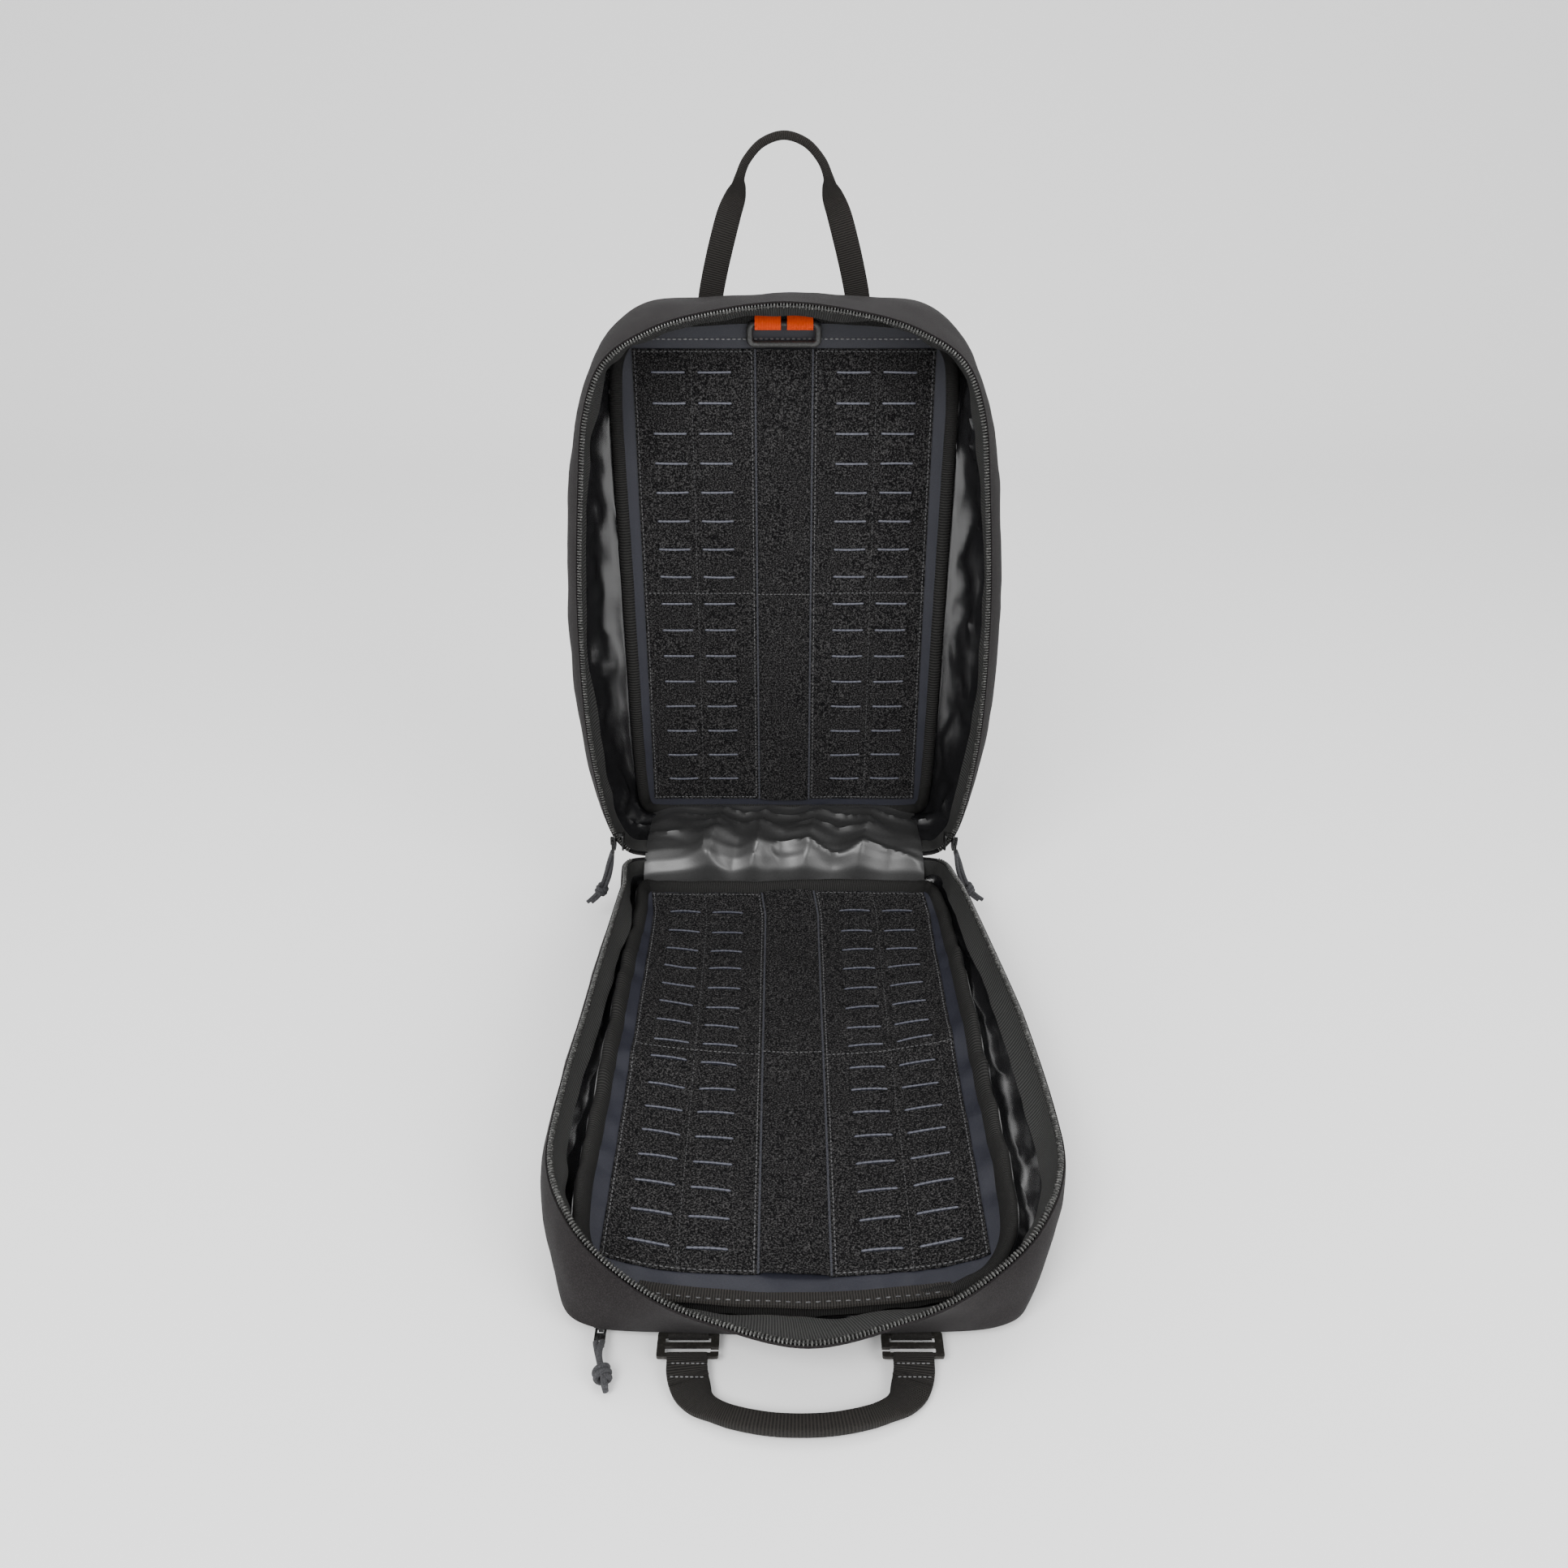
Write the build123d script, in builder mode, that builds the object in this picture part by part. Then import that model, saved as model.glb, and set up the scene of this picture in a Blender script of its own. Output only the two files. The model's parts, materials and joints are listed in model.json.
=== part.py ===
"""A clamshell trauma backpack: two zipped half shells hinged along their lower edge.

The front half lies on its outer face and the rear half stands at a right angle behind it.
Origin: centre of the front half's floor-facing face. +Z up, +Y towards the rear half.
Each half has its own coordinates: x across, s away from the hinge, d into the shell.
"""

from build123d import *
from collections import namedtuple
from math import atan2, cos, degrees, pi, radians, sin, tan
import os

os.makedirs("parts", exist_ok=True)

# ---- Driving dimensions, in millimetres ----

hinge_y = 240.0            # the fold line of the two halves
rear_depth = 85.0
front_depth = 62.0         # rim to outer face, without the outer pocket
pocket_thickness = 6.0
hinge_z = front_depth + pocket_thickness
fold_gap = 0.5             # each half's lower edge stops this short of the fold line
wall = 3.0                 # padded side wall
rim_depth = 4.0            # the wall starts this far below the rim plane

# Outlines of a half: half widths at the hinge and at the shoulder, top of the arch,
# rise of the arch and corner radius.
Outline = namedtuple("Outline", "hinge shoulder top arch corner")
rim = Outline(152.5, 166.0, 482.0, 27.0, 95.0)
middle = Outline(156.0, 176.0, 486.0, 22.0, 80.0)
base = Outline(141.0, 150.0, 475.0, 12.0, 30.0)
side_top = 372.0           # the side walls end and the top wall starts here

back_wall_thickness = 2.0
back_foam_thickness = 7.0
frame_sheet_thickness = 2.0
rear_liner_thickness = 4.0
face_wall_thickness = 3.0
stiffener_thickness = 9.0
front_liner_thickness = 3.0
layer_clearance = 0.5      # between the inner layers and the walls

binding_width = 8.0
binding_height = 2.5

# Webbing grid of the two organiser panels
slot_length = 28.0
slot_width = 3.0
slot_pitch = 38.1
row_pitch = 24.9
first_row = 46.0
field_inner = 24.0
field_outer = 124.0
field_low = 24.0
field_high = 438.0
row_count = int((field_high - first_row) / row_pitch) + 1
field_thickness = 1.2
strip_half_width = 23.0
strip_thickness = 3.5

band_low = 440.0
band_high = 454.0
band_half_width = 105.0
band_thickness = 1.6

# Main zip
tape_thickness = 1.0
tape_width = 21.0
zip_start = 6.0            # the zip starts this far from the fold line
teeth_back = 1.0           # teeth stand back from the rim plane
slider_start = 8.0
slider_length = 16.0
slider_half_width = 5.5
slider_plate = 1.6
slider_clearance = 0.9
slider_post = 1.4
slider_post_length = 4.0
slider_corner = 2.4
ear_width = 3.0
ear_height = 3.4
ear_length = 7.0

# Pulls
cord_diameter = 3.8
cord_spacing = 4.0
cord_turn = (0, 50, 90, 90, 90, 90)    # the strands turn side by side below the tab
knot_radius = 5.2
knot_stretch = 1.3
tab_width = 7.0
tab_thickness = 1.6
tab_length = 16.0
tab_above_pin = 1.5
tab_corner = 1.35
tab_eye_radius = 2.2
tab_eye_drop = 11.0
pin_radius = 1.2
pin_clearance = 0.2
fork_width = 4.2
fork_drop = 4.5

# Gusset over the fold
gusset_half_width = 128.0
gusset_thickness = 1.5
gusset_clearance = 0.9
gusset_lift = 2.0          # the strip hangs this far above the rear half's lower wall
gusset_bend = 4.0

# Hang ring
ring_width = 61.0
ring_height = 21.0
ring_bar = 5.5
ring_corner = 4.0
ring_bar_s = 457.5
ring_clearance = 0.3
loop_width = 21.0
loop_spacing = 26.0
loop_thickness = 1.5
loop_tab_top = 462.0

# Handles
webbing_width = 25.0
top_webbing_width = 20.0
webbing_thickness = 2.4
grip_thickness = 7.0
grip_depth = 13.0
handle_foot = 59.0
handle_shoulder = 36.0
handle_shoulder_height = 80.0
handle_height = 118.0
handle_seat_clearance = 0.4

patch_height = 14.0
patch_depth = 10.0
patch_margin = 3.0

hook_x = 69.0
hook_shift = 10.0          # the slack front half lies to the right at its far end
hook_s = 474.0
hook_bar = 3.0
hook_slot = 4.5
hook_slot_margin = 3.0
hook_slot_width = webbing_width + hook_slot_margin
hook_rail = 5.0
hook_width = hook_slot_width + 2 * hook_rail
hook_thickness = 2.4
hook_height = 3.0          # mid height of the buckle above the ground
hook_gate = 3.0
hook_corner = 1.4
gate_overlap = 2.0         # the gate cuts this far into the slot
anchor_seat = 0.1          # the anchor stops this short of the outer face
anchor_width = webbing_width
anchor_tab = 9.0
anchor_tab_thickness = 1.2
wrap_thickness = 1.2
front_grip_s = 537.0
front_shoulder_s = 515.0
front_shoulder_x = 57.0
ground_clearance = 0.3

# Outer pocket on the face that lies on the ground
pocket_inset = 8.0
pocket_low = 14.0
pocket_high = 462.0
pocket_zip_half_width = 122.0
pocket_zip_thickness = 1.5
pocket_zip_height = 4.0
pocket_slider_x = -114.0
pocket_slider_width = 10.0
pocket_slider_depth = 3.0
pocket_slider_gap = 0.3
pocket_slider_margin = 0.4  # the slider is this much taller than the zip
pocket_ear_margin = 1.2    # and its ear this much taller than the hole

# Harness
pad_gap = 1.0
back_pad_thickness = 8.0
back_pad_inner = 14.0
back_pad_outer = 100.0
back_pad_low = 114.0
back_pad_high = 405.0
back_pad_corner = 20.0
yoke_low = 424.0
yoke_high = 446.0
yoke_half_width = 104.0
yoke_thickness = 17.0
strap_x = 66.0
strap_width = 62.0
strap_thickness = 12.0
strap_length = 285.0
strap_pivot_gap = 0.3
ladder_width = 36.0
ladder_height = 20.0
ladder_thickness = 5.0
ladder_slot = 4.0
ladder_corner = 3.0
ladder_slot_inset = 1.0
ladder_slot_margin = 2.0
ladder_lap = 1.0           # the lower webbing starts this far below the lock
anchor_lap = 20.0          # and ends this far below the anchor's top
lower_webbing_thickness = 1.6
anchor_x = 137.5
anchor_bottom = -48.0
anchor_top = 34.0
anchor_thickness = 2.0
sternum_s = 300.0
sternum_width = 20.0
sternum_thickness = 1.6
sternum_buckle_width = 24.0
sternum_buckle_length = 25.0
sternum_buckle_thickness = 8.0
sternum_inner = 3.0
sternum_corner = 4.0


# ---- Frames of the two halves: local x across, local y away from the fold, z deeper ----


def rear_plane(depth=0.0):
    return Plane(origin=(0, hinge_y + depth, hinge_z), x_dir=(-1, 0, 0), z_dir=(0, 1, 0))


def front_plane(depth=0.0):
    return Plane(origin=(0, hinge_y, hinge_z - depth), x_dir=(1, 0, 0), z_dir=(0, 0, -1))


def across(plane_at, s):
    """The plane that cuts a half at distance s from the fold, its normal away from the fold."""
    frame = plane_at()
    return Plane(origin=frame.from_local_coords((0, s, 0)), x_dir=frame.x_dir, z_dir=frame.y_dir)


def profile_plane(plane_at, x):
    """The plane across a half at x: local x runs away from the fold, local y into the shell."""
    frame = plane_at()
    return Plane(origin=frame.from_local_coords((x, 0, 0)), x_dir=frame.y_dir, z_dir=frame.x_dir)


def save(piece, name):
    piece.part.label = name
    export_step(piece.part, f"parts/{name}.step")


def outline(plane, shape, inset=0.0):
    """A half's outline in a plane, drawn in from the nominal edge by the inset."""
    low = fold_gap + inset
    top = shape.top - inset
    corner_height = top - shape.arch
    lower, upper = shape.hinge - inset, shape.shoulder - inset
    with BuildSketch(plane) as sketch:
        with BuildLine():
            Polyline((-upper, corner_height), (-lower, low), (lower, low), (upper, corner_height))
            ThreePointArc((upper, corner_height), (0, top), (-upper, corner_height))
        make_face()
        fillet(sketch.vertices().group_by(Axis.Y)[-1], shape.corner - inset)
    return sketch.sketch


def side_at(shape, s):
    """Half width of an outline on its straight side at distance s from the fold."""
    run = shape.top - shape.arch - fold_gap
    return shape.hinge + (shape.shoulder - shape.hinge) * (s - fold_gap) / run


# ---- One half shell: walls, panel, organiser fields, binding and zip ----


def tub(plane_at, depth, inset):
    levels = ((rim, rim_depth), (middle, depth / 2), (base, depth))
    with BuildPart() as body:
        loft([outline(plane_at(d), shape, inset) for shape, d in levels], ruled=True)
    return body.part


def make_walls(name, plane_at, depth):
    with BuildPart() as ring:
        add(tub(plane_at, depth, 0))
        add(tub(plane_at, depth, wall), mode=Mode.SUBTRACT)
    with BuildPart() as bottom:
        add(ring.part)
        split(bisect_by=across(plane_at, fold_gap + wall), keep=Keep.BOTTOM)
    save(bottom, f"{name}_bottom_wall")
    with BuildPart() as sides:
        add(ring.part)
        split(bisect_by=across(plane_at, fold_gap + wall), keep=Keep.TOP)
        split(bisect_by=across(plane_at, side_top), keep=Keep.BOTTOM)
    save(sides, f"{name}_side_walls")
    with BuildPart() as top:
        add(ring.part)
        split(bisect_by=across(plane_at, side_top), keep=Keep.TOP)
    save(top, f"{name}_top_wall")


def make_layer(name, plane_at, start, thickness, inset):
    """A flat layer parallel to the outer face, cut to the base outline."""
    with BuildPart() as layer:
        extrude(outline(plane_at(start), base, inset), amount=thickness)
    save(layer, name)


def make_binding(name, plane_at, surface):
    edge = wall + layer_clearance
    with BuildPart() as binding:
        extrude(outline(plane_at(surface), base, edge), amount=-binding_height)
        inner = outline(plane_at(surface), base, edge + binding_width)
        extrude(inner, amount=-binding_height, mode=Mode.SUBTRACT)
    save(binding, f"{name}_seam_binding")


def make_fields(name, plane_at, surface):
    """The two slotted organiser fields and the raised strip between them."""
    width = field_outer - field_inner
    rows_middle = first_row + row_pitch * (row_count - 1) / 2
    fields_middle = (field_low + field_high) / 2
    with BuildPart() as fields:
        with BuildSketch(plane_at(surface)):
            for side in (-1, 1):
                centre = side * (field_inner + field_outer) / 2
                with Locations((centre, fields_middle)):
                    Rectangle(width, field_high - field_low)
                with Locations((side * slot_pitch * 2, rows_middle)):
                    with GridLocations(slot_pitch, row_pitch, 2, row_count):
                        SlotOverall(slot_length, slot_width, mode=Mode.SUBTRACT)
        extrude(amount=-field_thickness)
    save(fields, f"{name}_loop_fields")
    with BuildPart() as strip:
        with BuildSketch(plane_at(surface)):
            with Locations((0, fields_middle)):
                Rectangle(2 * strip_half_width, field_high - field_low)
        extrude(amount=-strip_thickness)
    save(strip, f"{name}_loop_strip")


def make_zip(name, plane_at):
    """The tape inside the rim and the row of teeth on its edge, open along the fold."""
    with BuildPart() as tape:
        extrude(outline(plane_at(teeth_back), rim, wall), amount=tape_width)
        inner = outline(plane_at(teeth_back), rim, wall + tape_thickness)
        extrude(inner, amount=tape_width, mode=Mode.SUBTRACT)
        split(bisect_by=across(plane_at, zip_start), keep=Keep.TOP)
    save(tape, f"{name}_zip_tape")
    with BuildPart() as teeth:
        extrude(outline(plane_at(teeth_back), rim), amount=rim_depth - teeth_back)
        inner = outline(plane_at(teeth_back), rim, wall)
        extrude(inner, amount=rim_depth - teeth_back, mode=Mode.SUBTRACT)
        split(bisect_by=across(plane_at, zip_start), keep=Keep.TOP)
    save(teeth, f"{name}_zip_teeth")


inner_edge = wall + layer_clearance
rear_surface = (rear_depth - back_wall_thickness - back_foam_thickness
                - frame_sheet_thickness - rear_liner_thickness)
front_surface = front_depth - face_wall_thickness - stiffener_thickness - front_liner_thickness

make_walls("rear", rear_plane, rear_depth - back_wall_thickness)
make_layer("back_wall", rear_plane, rear_depth - back_wall_thickness, back_wall_thickness, 0)
make_layer("back_foam", rear_plane, rear_surface + rear_liner_thickness + frame_sheet_thickness,
           back_foam_thickness, inner_edge)
make_layer("frame_sheet", rear_plane, rear_surface + rear_liner_thickness,
           frame_sheet_thickness, inner_edge)
make_layer("rear_liner_panel", rear_plane, rear_surface, rear_liner_thickness, inner_edge)
make_binding("rear", rear_plane, rear_surface)
make_fields("rear", rear_plane, rear_surface)
make_zip("rear", rear_plane)

make_walls("front", front_plane, front_depth - face_wall_thickness)
make_layer("front_face_wall", front_plane, front_depth - face_wall_thickness,
           face_wall_thickness, 0)
make_layer("front_stiffener", front_plane, front_surface + front_liner_thickness,
           stiffener_thickness, inner_edge)
make_layer("front_liner_panel", front_plane, front_surface, front_liner_thickness, inner_edge)
make_binding("front", front_plane, front_surface)
make_fields("front", front_plane, front_surface)
make_zip("front", front_plane)

with BuildPart() as band:
    with BuildSketch(front_plane(front_surface)):
        with Locations((0, (band_low + band_high) / 2)):
            Rectangle(2 * band_half_width, band_high - band_low)
    extrude(amount=-band_thickness)
save(band, "front_webbing_band")


# ---- Gusset: one strip of cloth from the rear panel over the fold to the front panel ----

rear_floor = fold_gap + wall + gusset_lift     # s of the strip above the rear lower wall
gusset_front_s = fold_gap + wall + layer_clearance + binding_width
with BuildPart() as gusset:
    with BuildSketch(Plane.YZ.offset(-gusset_half_width)):
        with BuildLine():
            FilletPolyline(
                (hinge_y + rear_surface - binding_height, hinge_z + rear_floor),
                (hinge_y - rear_floor, hinge_z + rear_floor),
                (hinge_y - rear_floor, hinge_z - front_surface / 2),
                (hinge_y - gusset_front_s,
                 hinge_z - front_surface + binding_height + gusset_clearance),
                radius=gusset_bend,
            )
        trace(line_width=gusset_thickness)
    extrude(amount=2 * gusset_half_width)
save(gusset, "bottom_gusset")


# ---- Zip sliders, pull tabs and cords ----


def make_cord(name, points):
    """A tube whose corner radii are 0.45 of the shorter run over tan of half the turn."""
    runs = [Vector(*b) - Vector(*a) for a, b in zip(points, points[1:])]
    radii = [0.45 * min(u.length, v.length) / tan(radians(u.get_angle(v)) / 2)
             for u, v in zip(runs, runs[1:])]
    with BuildPart() as cord:
        with BuildLine() as path:
            FilletPolyline(*points, radius=radii)
        with BuildSketch(Plane(path.wires()[0] ^ 0)):
            Circle(cord_diameter / 2)
        sweep()
    length = path.wires()[0].length
    full = pi * (cord_diameter / 2) ** 2 * length
    print(name, "radii", [round(r, 1) for r in radii], "length", round(length, 1),
          "volume share", round(cord.part.volume / full, 3))
    save(cord, name)


def make_knot(name, centre, direction):
    """A tied knot: an egg on the line of the two strands."""
    axis = Plane(origin=centre, z_dir=direction)
    with BuildPart() as knot:
        with BuildSketch(Plane(origin=centre, x_dir=axis.x_dir, z_dir=-axis.y_dir)):
            Ellipse(knot_radius, knot_radius * knot_stretch)
            with Locations((-knot_radius, 0)):
                Rectangle(2 * knot_radius, 4 * knot_radius, mode=Mode.SUBTRACT)
        revolve(axis=Axis(centre, axis.z_dir))
    save(knot, name)


def make_tab(name, frame):
    """A fork with a pin through the slider's ear, and an eye for the cord at its far end."""
    with BuildPart(frame) as tab:
        with Locations((0, 0, tab_above_pin - tab_length / 2)):
            Box(tab_thickness, tab_width, tab_length)
        fillet(tab.edges().filter_by(Axis(frame.origin, frame.x_dir)), tab_above_pin * 0.9)
        Box(tab_thickness, fork_width, 2 * fork_drop, mode=Mode.SUBTRACT)
        Cylinder(pin_radius, tab_width, rotation=(90, 0, 0))
        with Locations((0, 0, -tab_eye_drop)):
            Cylinder(tab_eye_radius, tab_thickness, rotation=(0, 90, 0), mode=Mode.SUBTRACT)
    save(tab, name)


def make_pull(name, frame, route):
    """The tab, two strands of cord side by side and the knot that ties them."""
    make_tab(f"{name}_tab", frame)
    for strand, offset in (("a", -cord_spacing / 2), ("b", cord_spacing / 2)):
        points = [tuple(frame.from_local_coords((x + offset * sin(radians(turn)),
                                                 y + offset * cos(radians(turn)), z)))
                  for (x, y, z), turn in zip(route, cord_turn)]
        make_cord(f"{name}_cord_{strand}", points)
    near, far = (Vector(*frame.from_local_coords(point)) for point in route[-3:-1])
    make_knot(f"{name}_knot", (near + far) * 0.5, far - near)


slider_middle = slider_start + slider_length / 2
slot_half = (wall + tape_thickness) / 2 + slider_clearance
slider_centre_x = side_at(rim, slider_middle) - (wall + tape_thickness) / 2
ear_x = slider_centre_x + slot_half + slider_plate + ear_height / 2
side_lean = degrees(atan2(rim.shoulder - rim.hinge, rim.top - rim.arch - fold_gap))


def make_slider(name, side):
    """Two plates joined by a post between the rows of teeth, with an ear for the pull."""
    centre = (side * slider_centre_x, hinge_y, hinge_z + slider_middle)
    frame = Plane(origin=centre, x_dir=(side, 0, 0), z_dir=(0, 0, 1))
    ear_centre = (ear_x - slider_centre_x, 0, 0)
    with BuildPart(frame.rotated((0, side_lean, 0))) as slider:
        for face in (-1, 1):
            with Locations((face * (slot_half + slider_plate / 2), 0, 0)):
                Box(slider_plate, 2 * slider_half_width, slider_length)
        fillet(slider.edges().filter_by(Axis(frame.origin, slider.workplanes[0].x_dir)),
               slider_corner)
        with Locations((0, 0, slider_length / 2 - slider_post_length / 2)):
            Box(2 * slot_half, slider_post, slider_post_length)
        with Locations(ear_centre):
            Box(ear_height, ear_width, ear_length)
        with Locations(ear_centre):
            Cylinder(pin_radius + pin_clearance, ear_width, rotation=(90, 0, 0),
                     mode=Mode.SUBTRACT)
    save(slider, name)


# Each strand's route from its tab's eye: outwards, along the fold, up from the pin.
pull_routes = {
    "left": [(0.8, 0, -11), (3, 1, -21), (5.5, 2.5, -33), (9.5, 4.5, -44), (15, 6, -54),
             (24, 8, -61)],
    "right": [(0.8, 0, -11), (3.4, -1, -21), (6, -2, -32), (10.5, -4, -43), (16.5, -5.5, -53),
              (26, -7, -59)],
}
for name, side in (("left", -1), ("right", 1)):
    make_slider(f"zip_slider_{name}", side)
    pin = (side * ear_x, hinge_y, hinge_z + slider_middle)
    make_pull(f"zip_pull_{name}", Plane(origin=pin, x_dir=(side, 0, 0), z_dir=(0, 0, 1)),
              pull_routes[name])


# ---- Hang ring and its two webbing loops at the top of the rear panel ----

loop_hole = ring_bar / 2 + ring_clearance
ring_depth = rear_surface - loop_hole - loop_thickness
ring_run = ring_height - ring_bar
ring_side = (ring_width - ring_bar) / 2
with BuildPart() as ring:
    with BuildLine(rear_plane(ring_depth)) as ring_path:
        FilletPolyline(
            (ring_side, ring_bar_s), (ring_side, ring_bar_s - ring_run),
            (-ring_side, ring_bar_s - ring_run), (-ring_side, ring_bar_s),
            close=True, radius=ring_corner,
        )
    with BuildSketch(Plane(ring_path.wires()[0] ^ 0)):
        Circle(ring_bar / 2)
    sweep()
save(ring, "hang_ring")

with BuildPart() as loops:
    for side in (-1, 1):
        start = side * loop_spacing / 2 - loop_width / 2
        with BuildSketch(profile_plane(rear_plane, start)):
            with Locations((ring_bar_s, ring_depth)):
                Circle(loop_hole + loop_thickness)
            with Locations((ring_bar_s, rear_surface - loop_thickness)):
                Rectangle(loop_tab_top - ring_bar_s, loop_thickness, align=(Align.MIN, Align.MIN))
            with Locations((ring_bar_s, ring_depth)):
                Circle(loop_hole, mode=Mode.SUBTRACT)
        extrude(amount=loop_width)
save(loops, "hang_loops")


# ---- Top carry handle: webbing legs, folded grip, and the patches that carry it ----

handle_depth = rear_depth - back_wall_thickness / 2
handle_foot_s = base.top + webbing_thickness / 2 + handle_seat_clearance
handle_plane = rear_plane(handle_depth)
shoulder_s = handle_foot_s + handle_shoulder_height
crown_s = handle_foot_s + handle_height
with BuildPart() as handle:
    with BuildSketch(handle_plane):
        for side in (-1, 1):
            with BuildLine():
                Polyline(
                    (side * (handle_foot - top_webbing_width / 2), handle_foot_s),
                    (side * (handle_foot + top_webbing_width / 2), handle_foot_s),
                    (side * (handle_shoulder + top_webbing_width / 2), shoulder_s),
                    (side * (handle_shoulder - top_webbing_width / 2), shoulder_s),
                    close=True,
                )
            make_face()
    extrude(amount=webbing_thickness / 2, both=True)
    with BuildSketch(handle_plane):
        with BuildLine():
            outer = ThreePointArc((-handle_shoulder - top_webbing_width / 2, shoulder_s),
                                  (0, crown_s),
                                  (handle_shoulder + top_webbing_width / 2, shoulder_s))
            inner = ThreePointArc((-handle_shoulder + top_webbing_width / 2, shoulder_s),
                                  (0, crown_s - grip_thickness),
                                  (handle_shoulder - top_webbing_width / 2, shoulder_s))
            Line(outer @ 0, inner @ 0)
            Line(outer @ 1, inner @ 1)
        make_face()
    extrude(amount=grip_depth / 2, both=True)
    for side in (-1, 1):
        with BuildSketch(profile_plane(rear_plane, side * handle_foot - top_webbing_width / 2)):
            with Locations((handle_foot_s, handle_depth)):
                Circle(webbing_thickness / 2)
        extrude(amount=top_webbing_width)
save(handle, "top_handle")

with BuildPart() as patches:
    with BuildSketch(rear_plane(rear_depth)):
        for side in (-1, 1):
            with Locations((side * handle_foot, base.top - patch_height / 2)):
                Rectangle(top_webbing_width + 2 * patch_margin, patch_height)
    extrude(amount=-patch_depth)
    add(tub(rear_plane, rear_depth - back_wall_thickness, 0), mode=Mode.SUBTRACT)
    extrude(outline(rear_plane(rear_depth - back_wall_thickness), base, 0),
            amount=back_wall_thickness, mode=Mode.SUBTRACT)
save(patches, "handle_patches")


# ---- Outer pocket on the front half, with its zip ----

with BuildPart() as pocket:
    extrude(outline(front_plane(front_depth), base, pocket_inset), amount=pocket_thickness)
    split(bisect_by=across(front_plane, pocket_low), keep=Keep.TOP)
    split(bisect_by=across(front_plane, pocket_high), keep=Keep.BOTTOM)
save(pocket, "front_pocket")

pocket_middle = hinge_z - front_depth - pocket_thickness / 2
zip_front = pocket_high + pocket_zip_thickness
with BuildPart() as pocket_zip:
    with BuildSketch(across(front_plane, pocket_high)):
        with Locations((0, -(front_depth + pocket_thickness / 2))):
            Rectangle(2 * pocket_zip_half_width, pocket_zip_height)
    extrude(amount=pocket_zip_thickness)
save(pocket_zip, "pocket_zip")

pocket_pin_s = zip_front + pocket_slider_gap + pocket_slider_depth + ear_height / 2
pocket_frame = Plane(origin=(pocket_slider_x, hinge_y - pocket_pin_s, pocket_middle),
                     x_dir=(0, 0, 1), z_dir=(0, 1, 0))
with BuildPart(pocket_frame) as pocket_slider:
    with Locations((0, 0, ear_height / 2 + pocket_slider_depth / 2)):
        Box(pocket_zip_height + pocket_slider_margin, pocket_slider_width, pocket_slider_depth)
    Box(2 * pin_radius + 2 * pin_clearance + pocket_ear_margin, ear_width, ear_height)
    Cylinder(pin_radius + pin_clearance, ear_width, rotation=(90, 0, 0), mode=Mode.SUBTRACT)
save(pocket_slider, "pocket_slider")
make_pull("pocket_pull", pocket_frame,
          [(0.8, 0, -11), (1.8, 0.4, -16), (1.9, 1.5, -23), (1.4, 3.5, -30), (0.6, 6, -38),
           (0.2, 8, -44)])


# ---- Front carry handle on two flat hook buckles ----

hook_plane = Plane(origin=(0, hinge_y - hook_s, hook_height), x_dir=(1, 0, 0), z_dir=(0, 0, -1))
plate_start = -hook_bar / 2
slot_a = plate_start + hook_bar + hook_slot / 2
slot_b = slot_a + hook_slot + hook_bar
plate_end = slot_b + hook_slot / 2 + hook_bar
with BuildPart() as hooks:
    with BuildSketch(hook_plane):
        for side in (-1, 1):
            with Locations((hook_shift + side * hook_x, (plate_start + plate_end) / 2)):
                RectangleRounded(hook_width, plate_end - plate_start, hook_corner)
            for s in (slot_a, slot_b):
                with Locations((hook_shift + side * hook_x, s)):
                    Rectangle(hook_slot_width, hook_slot, mode=Mode.SUBTRACT)
            with Locations((hook_shift + side * (hook_x - hook_width / 2), slot_b)):
                Rectangle(hook_width - hook_slot_width + gate_overlap, hook_gate,
                          mode=Mode.SUBTRACT)
    extrude(amount=hook_thickness / 2, both=True)
save(hooks, "hook_buckles")

anchor_hole = ((hook_bar / 2) ** 2 + (hook_thickness / 2) ** 2) ** 0.5 + ring_clearance
face_underside = hinge_z - front_depth
with BuildPart() as anchors:
    for side in (-1, 1):
        with BuildSketch(profile_plane(front_plane, hook_shift + side * hook_x - anchor_width / 2)):
            with Locations((hook_s, hinge_z - hook_height)):
                Circle(face_underside - hook_height - anchor_seat)
            with Locations((hook_s, front_depth)):
                Rectangle(anchor_tab, anchor_tab_thickness, align=(Align.MAX, Align.MIN))
            with Locations((hook_s, hinge_z - hook_height)):
                Circle(anchor_hole, mode=Mode.SUBTRACT)
        extrude(amount=anchor_width)
save(anchors, "hook_anchors")

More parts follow.
